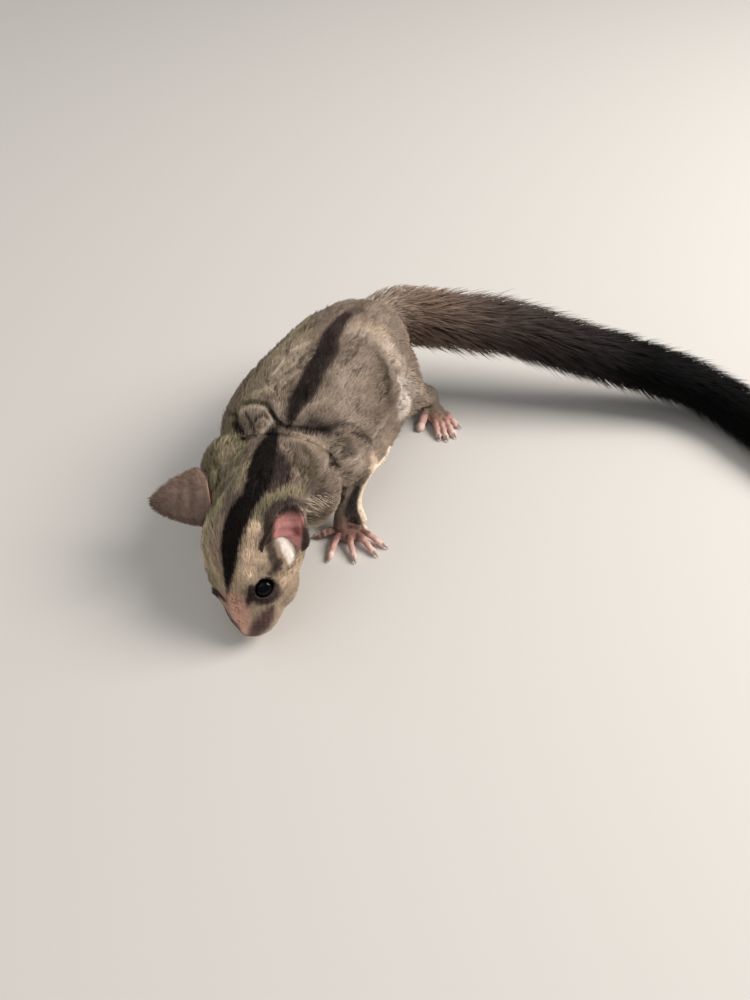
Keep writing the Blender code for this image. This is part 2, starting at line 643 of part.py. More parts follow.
def make_ear(name, base, tip, facing, length, half_width):
    """A thin cupped ear, whose sides run down onto the skull."""
    along = head_direction(*tip)
    front = head_direction(*facing)
    front = (front - along * front.dot(along)).normalized()
    across = along.cross(front)
    root = in_head(*base)
    outward = head_direction(0, base[1], base[2])
    form = bmesh.new()
    grid = []
    for i in range(EAR_RINGS):
        height = i / (EAR_RINGS - 1)
        wrap = math.radians(EAR_WRAP - EAR_OPENING * height**0.7)
        bend = half_width * ear_width(height) / math.sin(min(wrap, math.pi / 2))
        row = []
        for j in range(EAR_COLUMNS):
            angle = (2 * j / (EAR_COLUMNS - 1) - 1) * wrap
            point = root + along * length * (height - EAR_SUNK)
            forward = (1 - math.cos(angle)) * bend * EAR_DEPTH
            point += across * math.sin(angle) * bend + front * forward
            point -= outward * forward * front.dot(outward) * (1 - height) ** EAR_SETTLING
            row.append(form.verts.new(in_metres(point)))
        grid.append(row)
    for first, second in zip(grid, grid[1:]):
        for j in range(EAR_COLUMNS - 1):
            form.faces.new((first[j], first[j + 1], second[j + 1], second[j]))
    form.normal_update()
    mesh = bpy.data.meshes.new(name)
    form.to_mesh(mesh)
    form.free()
    ear = new_object(name, mesh)
    wall = ear.modifiers.new("wall", "SOLIDIFY")
    wall.thickness = EAR_WALL * MM
    wall.offset = 0.0
    wall.use_even_offset = True
    apply_modifiers(ear)
    form = bmesh.new()
    form.from_mesh(ear.data)
    face_out(form)
    form.to_mesh(ear.data)
    form.free()
    return ear


def make_paw(name, plan, limb, heading, side):
    """A hand or foot with its digits and claws, cut from the limb at the wrist."""
    wrist = Vector(limb[-2][:3])
    forward = Vector((math.cos(math.radians(heading)), math.sin(math.radians(heading)), 0))
    across = UP.cross(forward) * side
    foot_of_wrist = Vector((*wrist.xy, 0))
    length, width, height = plan["palm"]
    middle = foot_of_wrist + forward * plan["sole"][0] + across * plan["sole"][1]
    palm = ellipsoid("palm", middle + UP * height, (length, width, height), (forward, across, UP))
    pieces = [palm, tube("stump", limb[-4:])]
    for number, (root, end, radius) in enumerate(plan["digits"]):
        start = foot_of_wrist + forward * root[0] + across * root[1]
        reach = forward * (end[0] - root[0]) + across * (end[1] - root[1])
        claw = 0.0 if number == plan["clawless"] else CLAW_LENGTH
        bone = reach * (1 - claw / reach.length)
        along = reach.normalized()
        rows = [(*(start + bone * share + UP * up), radius * swell) for share, up, swell in DIGIT_SHAPE]
        pieces.append(tube("digit", rows))
        if claw:
            rows = [(*(start + bone + along * out + UP * up), thick) for out, up, thick in CLAW_SHAPE]
            pieces.append(tube("claw", rows))
    paw = fuse(name, pieces, PAW_VOXEL, 1, PAW_FACES)
    keep_side(paw, *wrist_plane(limb))
    flat_feet(paw)
    return paw


def make_leg(name, limb, trunk):
    """A leg from its shoulder or hip to the wrist or ankle."""
    leg = fuse(name, [tube("bone", limb, bevel=5)], LIMB_VOXEL, LEG_SMOOTHING, LEG_FACES)
    wrist, upward = wrist_plane(limb)
    keep_side(leg, wrist, -upward)
    carve(leg, *trunk)
    return leg


def make_membrane(name, edges, neighbours):
    """The gliding membrane along one side, carved clear of the body, the legs and the paws."""
    inner = through([a for a, _ in edges], 4)
    outer = through([b for _, b in edges], 4)
    half = MEMBRANE_THICKNESS / 2
    widths = (np.linalg.norm(outer - inner, axis=1) + MEMBRANE_RIM) / 2
    halves = [(width, half, half) for width in widths]
    fold = loft(name, (inner + outer) / 2, outer - inner, halves, MEMBRANE_SIDES)
    fold = fuse(name, [fold], LIMB_VOXEL, 1, MEMBRANE_FACES)
    carve(fold, *neighbours)
    return fold


class TailLine:
    """The tail's centre line: places, directions and coat radius by distance along it."""

    def __init__(self):
        rows = through(TAIL_PATH, 12)
        self.places, self.radii = rows[:, :3], rows[:, 3]
        steps = np.linalg.norm(np.diff(self.places, axis=0), axis=1)
        self.along = np.concatenate([[0.0], np.cumsum(steps)])
        self.length = self.along[-1]

    def place(self, distance):
        """The point at a distance along the tail, straight on beyond its end."""
        inside = min(distance, self.length)
        point = Vector(np.interp(inside, self.along, self.places[:, axis]) for axis in range(3))
        return point + self.direction(self.length) * (distance - inside)

    def direction(self, distance):
        """The unit vector along the tail."""
        near = min(max(distance, 1.0), self.length - 1.0)
        before, after = (
            Vector(np.interp(near + step, self.along, self.places[:, axis]) for axis in range(3))
            for step in (-1, 1)
        )
        return (after - before).normalized()

    def radius(self, distance):
        """The coat's radius at a distance along the tail."""
        return float(np.interp(distance, self.along, self.radii))

    def core(self, distance):
        """The core's radius: nearly the coat's at the root, and under half of it from there on."""
        fade = min(max((distance - ROOT_START) / ROOT_FADE, 0.0), 1.0)
        return self.radius(distance) * (ROOT_SHARE + (CORE_SHARE - ROOT_SHARE) * fade)

    def across(self, distance, angle):
        """Unit vectors out of the tail at an angle round it, and round it from there."""
        along = self.direction(distance)
        top = (UP - along * UP.dot(along)).normalized()
        side = along.cross(top)
        outward = top * math.cos(angle) + side * math.sin(angle)
        return outward, along.cross(outward)


def make_lock(line, start, angle, length, width, turn):
    """One flat tapered lock of hair that leaves the core, bends over and lies along the tail."""
    form = bmesh.new()
    rings = []
    for share, wide, thick, depth in LOCK_SHAPE:
        at = start + share * length
        outward, around = line.across(at, angle + turn * share**2)
        coat, core = line.radius(at), line.core(at)
        middle = line.place(at) + outward * (core + (coat - core) * depth)
        half, rise = width * wide / 2, LOCK_THICKNESS * thick / 2
        edge = middle - outward * (half**2 / LOCK_HOLLOW)
        around, outward = around * half, outward * rise
        section = [edge - around, middle + outward, edge + around, middle - outward]
        rings.append([form.verts.new(in_metres(above_floor(point))) for point in section])
    outward, _ = line.across(start + length, angle + turn)
    coat = line.radius(min(start + length * 0.9, line.length))
    tip = form.verts.new(in_metres(above_floor(line.place(start + length) + outward * coat)))
    for first, second in zip(rings, rings[1:]):
        for edge, middle in ((0, 1), (0, 3), (2, 1), (2, 3)):
            form.faces.new((first[edge], first[middle], second[middle]))
            form.faces.new((first[edge], second[middle], second[edge]))
    for k in range(4):
        form.faces.new((rings[-1][k - 1], rings[-1][k], tip))
    root = rings[0]
    form.faces.new((root[0], root[1], root[3]))
    form.faces.new((root[1], root[2], root[3]))
    return object_of("lock", form)


def above_floor(point):
    """The point, or the one above it that is just clear of the floor."""
    return Vector((point.x, point.y, max(point.z, FLOOR_CLEAR)))


def union_all(target, pieces):
    """Fuses closed pieces into target by one Boolean union on their collection, and removes them."""
    group = bpy.data.collections.new("pieces")
    bpy.context.scene.collection.children.link(group)
    for piece in pieces:
        ANIMAL.objects.unlink(piece)
        group.objects.link(piece)
    step = target.modifiers.new("union", "BOOLEAN")
    step.operation = "UNION"
    step.solver = "MANIFOLD"
    step.operand_type = "COLLECTION"
    step.collection = group
    apply_modifiers(target)
    for piece in pieces:
        bpy.data.objects.remove(piece)
    bpy.data.collections.remove(group)
    largest_part(target)


def ring_of_locks(line, ring, rng):
    """One ring of locks round the tail."""
    start = LOCKS_FROM + ring * LOCK_SPACING
    scale = min(1.0, line.radius(start) / LOCK_FULL_RADIUS)
    count = LOCKS_ROUND if scale == 1.0 else LOCKS_ROUND_TIP
    locks = []
    for k in range(count):
        angle = math.tau * (k + 0.5 * (ring % 2)) / count + rng.uniform(-LOCK_SHIFT, LOCK_SHIFT)
        length = LOCK_LENGTH * rng.uniform(*LOCK_LONG) * (LOCK_LEAST + (1 - LOCK_LEAST) * scale)
        width = LOCK_WIDTH * rng.uniform(*LOCK_WIDE) * scale
        begin = start + rng.uniform(-LOCK_START, LOCK_START)
        turn = rng.uniform(-LOCK_TURN, LOCK_TURN)
        locks.append(make_lock(line, begin, angle, length, width, turn))
    return locks


def make_tail(neighbours):
    """The tail in three lengths, each a core with rows of locks that lie over the next."""
    line = TailLine()
    rng = random.Random(LOCK_SEED)
    made = []
    for name, (first, last) in TAIL_RINGS.items():
        low = LOCKS_FROM + first * LOCK_SPACING - ROOT_MARGIN if made else 0.0
        high = min(LOCKS_FROM + last * LOCK_SPACING - ROOT_MARGIN, line.length)
        stops = np.linspace(low, high - LOCK_START * 2, int((high - low) / CORE_STEP))
        core = tube(name, [(*line.place(stop), line.core(stop)) for stop in stops], steps=1, bevel=1)
        if made:
            keep_side(core, line.place(low), -line.direction(low))
        if high < line.length:
            keep_side(core, line.place(high), line.direction(high))
        locks = [lock for ring in range(first, last) for lock in ring_of_locks(line, ring, rng)]
        union_all(core, locks)
        if made:
            carve(core, made[-1])
        made.append(core)
    carve(made[0], *neighbours)
    flat_feet(made[-1])
    return made


def build():
    """Makes every node of the animal."""
    head, neck, torso, eyes = make_spine()
    trunk = (torso, neck, head)
    legs = {
        "foreleg_left": FORELEG_LEFT,
        "foreleg_right": FORELEG_RIGHT,
        "hindleg_left": HINDLEG_LEFT,
        "hindleg_right": HINDLEG_RIGHT,
    }
    legs = {name: make_leg(name, limb, trunk) for name, limb in legs.items()}
    paws = {name: make_paw(name, *plan) for name, plan in PAWS.items()}
    folds = []
    for side, edges in (("left", MEMBRANE_LEFT), ("right", MEMBRANE_RIGHT)):
        limbs = (legs["foreleg_" + side], legs["hindleg_" + side])
        ends = (paws["hand_" + side], paws["foot_" + side])
        folds.append(make_membrane("membrane_" + side, edges, (torso, neck, *limbs, *ends)))
    ears = [make_ear("ear_left", *EAR_LEFT), make_ear("ear_right", *EAR_RIGHT)]
    for ear in ears:
        carve(ear, head, neck)
    tail = make_tail((torso, legs["hindleg_left"], legs["hindleg_right"]))
    finish(head, "face_fur")
    for node in (neck, torso, *legs.values(), *folds):
        finish(node, "grey_fur")
    for node in (*paws.values(), *ears):
        finish(node, "pink_skin")
    for node in eyes:
        finish(node, "eye")
    for node in tail:
        finish(node, "tail_fur")


clear_scene()
ANIMAL = bpy.data.collections.new("sugar_glider")
bpy.context.scene.collection.children.link(ANIMAL)
build()
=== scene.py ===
"""The looks of the sugar glider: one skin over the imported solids, its coat, ears, paws, claws and eyes."""

import math

import bmesh
import bpy
import numpy as np
from mathutils import Matrix, Vector, noise
from mathutils.bvhtree import BVHTree


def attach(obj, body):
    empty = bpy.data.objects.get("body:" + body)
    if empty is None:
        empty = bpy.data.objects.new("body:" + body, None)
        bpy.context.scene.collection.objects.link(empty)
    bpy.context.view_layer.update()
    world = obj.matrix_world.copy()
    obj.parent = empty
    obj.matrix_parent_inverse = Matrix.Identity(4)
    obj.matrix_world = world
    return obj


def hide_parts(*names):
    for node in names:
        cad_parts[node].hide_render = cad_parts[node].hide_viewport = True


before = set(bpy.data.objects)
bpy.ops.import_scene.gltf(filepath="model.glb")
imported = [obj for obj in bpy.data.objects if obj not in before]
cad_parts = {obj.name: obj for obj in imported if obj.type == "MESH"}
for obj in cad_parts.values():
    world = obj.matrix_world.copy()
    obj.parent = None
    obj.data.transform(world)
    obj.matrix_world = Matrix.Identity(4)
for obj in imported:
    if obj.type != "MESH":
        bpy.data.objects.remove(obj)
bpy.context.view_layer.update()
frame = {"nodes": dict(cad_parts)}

MM = 0.001
FLOOR_CENTRE = Vector((45.27, 189.17, 0.0))
UP = Vector((0, 0, 1))
RNG = np.random.default_rng(23)

# The photo's camera, in the layout's millimetres.
CAMERA_PLACE = Vector((0.0, 0.0, 220.0))
CAMERA_PITCH = 50.0
CAMERA_FOCAL = 800.0  # pixels
PHOTO_SIZE = (750, 1000)

NOSE_TIP = Vector((-38.9, 125.2, 7.2))
HEAD_YAW, HEAD_PITCH, HEAD_ROLL, HEAD_LEAN = -18.0, 32.3, -24.0, -10.0
HEAD_TURN = (
    Matrix.Rotation(math.radians(HEAD_ROLL), 3, "Y")
    @ Matrix.Rotation(math.radians(HEAD_PITCH), 3, "X")
    @ Matrix.Rotation(math.radians(HEAD_YAW), 3, "Z")
    @ Matrix.Rotation(math.radians(HEAD_LEAN), 3, "Y")
)
HEAD_LEFT, HEAD_BACK, HEAD_UP = (HEAD_TURN @ axis for axis in Matrix.Identity(3))
EYE_RADIUS = 3.8
EYE_PLACE = (15.2, 7.7, 3.9)
EYE_FACING = (-0.05, 0.68, 0.73)
EYE_SLANT = (0.86, 0.45, -0.2)
LID_OPENING, LID_RIM = (3.4, 2.8), 0.4

# The legs: x, y, z and radius from the body to the wrist or ankle.
FORELEG_LEFT = [
    (-7.4, 180.6, 14.8, 4.0), (-8.8, 177.2, 12.0, 3.3), (-10.6, 173.4, 8.6, 2.9), (-11.5, 170.8, 5.2, 2.7),
    (-11.7, 169.6, 3.8, 2.6),
]
FORELEG_RIGHT = [
    (-45.5, 179.0, 14.8, 4.4), (-44.4, 177.6, 11.0, 3.4), (-43.0, 175.2, 7.6, 2.9),
    (-42.4, 173.2, 5.2, 2.7), (-42.2, 172.0, 3.8, 2.6),
]
HINDLEG_LEFT = [
    (12.0, 224.5, 15.5, 6.8), (17.5, 228.5, 10.5, 4.6), (21.0, 232.0, 6.8, 3.7), (21.8, 231.0, 4.6, 3.4),
]
HINDLEG_RIGHT = [
    (-24.5, 239.0, 15.5, 6.8), (-22.5, 243.5, 10.5, 4.6), (-20.5, 247.0, 6.8, 3.7),
    (-21.4, 246.2, 4.6, 3.4),
]
# The digits: root and tip ahead of the wrist and outward from it, and radius.
HAND_DIGITS = [
    ((2.0, -2.2), (1.6, -10.6), 1.15), ((3.4, -1.6), (13.1, -6.6), 1.0), ((4.4, 1.6), (15.2, 2.4), 1.0),
    ((4.2, 4.4), (13.9, 10.3), 1.0), ((3.4, 6.2), (11.0, 14.3), 0.95),
]
FOOT_DIGITS = [
    ((3.0, -2.0), (9.9, -7.7), 1.5), ((9.5, -1.8), (18.6, -3.1), 1.0), ((10.0, 0.0), (20.1, -0.5), 1.0),
    ((9.6, 1.8), (19.7, 3.1), 1.2), ((8.0, 3.0), (15.4, 7.2), 1.15),
]
HAND = dict(sole=(3.0, 2.4), palm=(3.8, 5.2, 2.0), digits=HAND_DIGITS, clawless=None, furred=1.5)
FOOT = dict(sole=(5.0, 0.2), palm=(7.4, 4.0, 2.4), digits=FOOT_DIGITS, clawless=0, furred=8.0)
# Along a digit: share of the bone, height and share of the radius, thicker at the knuckles.
DIGIT_SHAPE = [
    (-0.15, 2.2, 1.3), (0.18, 2.9, 1.08), (0.34, 3.0, 1.22), (0.5, 2.55, 1.0), (0.64, 2.3, 1.16),
    (0.8, 1.6, 0.96), (0.92, 1.25, 1.18), (1.0, 1.15, 1.05),
]
# Along a claw: distance from the digit's end, height and radius.
CLAW_SHAPE = [(-0.5, 1.6, 0.62), (0.5, 1.75, 0.56), (1.2, 1.45, 0.46), (1.8, 0.95, 0.32), (2.2, 0.5, 0.1)]
CLAW_LENGTH = 2.2
# The small web from the left wrist to the membrane.
WEB = [(-10.8, 170.4, 3.9, 1.9), (-7.2, 170.0, 3.3, 1.7), (-3.8, 169.7, 2.7, 1.2)]
# The paws: plan, leg, heading in degrees and side of the body.
PAWS = {
    "hand_left": (HAND, FORELEG_LEFT, -80.0, 1.0),
    "hand_right": (HAND, FORELEG_RIGHT, -100.0, -1.0),
    "foot_left": (FOOT, HINDLEG_LEFT, -68.5, 1.0),
    "foot_right": (FOOT, HINDLEG_RIGHT, -140.0, -1.0),
}
MEMBRANE_EDGE_LEFT = [
    (-1.9, 169.4, 3.0), (-3.1, 171.4, 5.2), (-4.4, 173.6, 7.2), (-4.6, 176.4, 10.2), (-2.8, 180.0, 14.2),
    (0.4, 183.6, 17.6), (3.0, 189.6, 15.4), (4.8, 196.4, 13.5), (7.6, 204.0, 13.0), (10.2, 210.6, 13.0),
    (14.4, 217.2, 13.6), (18.2, 223.4, 13.0), (21.2, 227.6, 9.6), (22.6, 230.6, 7.0),
]
MEMBRANE_EDGE_RIGHT = [
    (-50.0, 173.8, 3.6), (-51.0, 176.2, 5.8), (-52.0, 178.8, 8.2), (-53.0, 182.0, 12.0),
    (-53.4, 186.6, 15.0), (-52.4, 192.4, 15.0), (-50.6, 200.0, 14.0), (-47.8, 208.4, 13.5),
    (-44.8, 217.0, 13.5), (-40.6, 225.4, 13.6), (-35.8, 232.8, 13.0), (-31.4, 239.4, 10.0),
    (-28.0, 243.8, 7.6),
]
TAIL_PATH = [
    (-9.0, 232.0, 34.5, 8.5), (1.0, 240.0, 36.2, 9.8), (7.0, 242.5, 37.0, 10.9), (14.7, 242.0, 37.2, 11.8),
    (27.7, 240.8, 36.4, 12.2), (48.6, 241.2, 33.0, 11.8), (73.5, 238.1, 26.8, 11.4),
    (102.8, 234.3, 19.4, 10.8), (121.3, 230.6, 14.2, 10.2), (135.0, 222.5, 11.0, 9.8),
    (145.0, 209.5, 9.1, 8.8), (151.0, 197.0, 7.4, 7.0), (153.6, 186.0, 5.4, 5.0), (153.9, 178.0, 2.6, 1.6),
]
CORE_SHARE, ROOT_SHARE, ROOT_START, ROOT_FADE = 0.42, 0.9, 22.0, 20.0
# Ears: base on the head, direction of the tip, facing of the opening, length, half width and how much of
# the full curl the outer side has.
EAR_LEFT = ((29.2, 15.9, 4.0), (0.74, 0.396, 0.539), (-0.593, 0.528, 0.597), 15.0, 7.0, 0.66)
EAR_RIGHT = ((38.2, -10.8, 12.0), (-0.046, -0.95, 0.289), (0.423, -0.174, -0.883), 19.5, 9.2, 1.0)
# The mound in front of each ear: back, left and up.
EAR_MOUND = [(30.0, 13.6, 6.0), (27.5, 14.0, 6.0), (25.0, 14.0, 5.6), (22.6, 13.6, 5.0)]
EAR_WALL, EAR_SETTLING = 0.6, 1.5
EAR_WRAP, EAR_OPENING = 108, 60  # degrees of curl at the root, and how many fewer at the tip
EAR_CUP = 0.75  # how deep the cup is for its curl
EAR_SINK = 0.1  # the share of its length by which an ear starts below the scalp

FLESH = [
    "head", "neck", "torso", "foreleg_left", "foreleg_right", "hindleg_left", "hindleg_right",
    "membrane_left", "membrane_right",
]
COAT_DEPTH = {"body": 1.0, "head": 0.45}
SWELL = 0.22  # how far the solids are grown so that they overlap before they are fused
NECK_CUT, NAPE_REACH, NAPE_SMOOTHING = 39.0, 4.0, 10
NAPE_SINK = 2.0
SKIN_FACES = 250000
FOLD_SCALE, FOLD_LEAST, FOLD_MOST = 1.4, -2.6, 1.6
WRINKLE_DEPTH, WRINKLE_SIZE, WRINKLE_WIDTH = 0.75, 4.6, 0.17
BODY_WAY = np.array([0.42, 0.9, 0.08])  # from the chest to the rump

# Each fold: height in millimetres (below zero a crease), half width in pixels, and its line. Its height also
# sets the painted shade in a crease and the painted highlight on a roll.
FOLDS = [
    (-1.3, 4.2, [
        (270, 410), (275, 421), (285, 427), (306, 431), (327, 432), (340, 426), (352, 426), (363, 435),
        (371, 442),
    ]),
    (0.8, 6.0, [(292, 440), (308, 443), (322, 449), (327, 460), (324, 472)]),
    (-1.0, 4.0, [(332, 447), (334, 458), (332, 466), (335, 475), (340, 486), (344, 497), (342, 506)]),
    (-1.4, 4.4, [(236, 415), (239, 424), (240, 430), (245, 440)]),
    (-1.0, 3.4, [(246, 414), (250, 422), (255, 432)]),
    (-1.1, 3.6, [(243, 403), (255, 401), (266, 404), (271, 411), (277, 420)]),
    (0.6, 3.4, [(240, 412), (250, 408), (262, 409), (269, 415), (272, 423)]),
    (-0.8, 2.4, [(253, 425), (257, 418), (263, 415), (268, 419)]),
    (0.5, 2.6, [(255, 430), (259, 423), (265, 420), (269, 425)]),
    (0.4, 2.8, [(245, 447), (250, 440), (258, 437), (264, 433)]),
    (-0.9, 3.6, [(300, 335), (282, 345), (271, 355), (260, 367), (257, 375)]),
    (0.8, 4.4, [(296, 330), (279, 340), (265, 350), (256, 362), (253, 372)]),
    (0.7, 3.4, [(308, 343), (295, 349), (286, 357), (280, 366), (272, 376)]),
    (-0.7, 3.0, [(312, 349), (304, 356), (295, 366), (285, 374)]),
    (-0.8, 3.2, [(295, 379), (286, 387), (275, 394), (267, 398)]),
    (0.7, 3.6, [(297, 373), (287, 380), (276, 387), (264, 392), (252, 396)]),
    (0.6, 4.0, [(240, 452), (233, 462), (221, 470), (209, 479), (199, 487)]),
    (-0.6, 4.0, [(246, 456), (241, 466), (230, 478), (219, 490)]),
    (0.6, 3.4, [(238, 470), (232, 482), (222, 497), (214, 512)]),
    (-0.9, 4.0, [(377, 355), (384, 367), (389, 380), (394, 391), (400, 402)]),
    (0.8, 5.0, [(386, 362), (392, 373), (397, 384), (403, 393), (408, 402), (408, 412)]),
    (0.6, 6.0, [(283, 542), (288, 549), (291, 557)]),
    (-0.5, 2.6, [(342, 336), (352, 334), (362, 338)]),
    (-0.5, 2.6, [(341, 344), (352, 342), (363, 346)]),
    (-0.5, 2.6, [(340, 353), (351, 350), (364, 354)]),
    (-0.5, 2.6, [(338, 362), (350, 360), (364, 364)]),
    (-0.6, 2.4, [(345, 402), (350, 408), (353, 415)]),
    (-0.6, 2.4, [(361, 399), (365, 408), (366, 416)]),
    (-0.6, 2.4, [(377, 405), (381, 414), (381, 423)]),
    (-0.7, 2.6, [(372, 425), (378, 433), (385, 440)]),
]

COLOURS = {
    "grey": (0.242, 0.187, 0.144),
    "grey_pale": (0.460, 0.370, 0.295),
    "grey_dark": (0.120, 0.088, 0.070),
    "olive": (0.240, 0.205, 0.118),
    "olive_pale": (0.400, 0.335, 0.205),
    "olive_dark": (0.100, 0.082, 0.046),
    "black": (0.010, 0.007, 0.006),
    "umber": (0.034, 0.022, 0.020),
    "cream": (0.860, 0.650, 0.460),
    "ivory": (0.930, 0.770, 0.590),
    "tan": (0.640, 0.475, 0.330),
    "salmon": (0.800, 0.450, 0.340),
    "purple": (0.075, 0.035, 0.038),
    "plum": (0.026, 0.014, 0.016),
    "white": (0.900, 0.800, 0.720),
    "palm": (0.170, 0.085, 0.068),
    "digit": (0.570, 0.335, 0.285),
    "digit_tip": (0.800, 0.590, 0.520),
    "foot": (0.370, 0.210, 0.160),
    "belly": (0.560, 0.480, 0.370),
    "tail": (0.225, 0.155, 0.118),
    "tail_brown": (0.088, 0.065, 0.053),
    "tail_umber": (0.044, 0.034, 0.031),
    "tail_black": (0.022, 0.018, 0.018),
    "tail_dark": (0.002, 0.002, 0.002),
    "ear_pink": (0.800, 0.370, 0.340),
    "ear_rim": (0.085, 0.055, 0.046),
    "ear_pit": (0.300, 0.075, 0.070),
    "ear_back": (0.215, 0.145, 0.112),
}

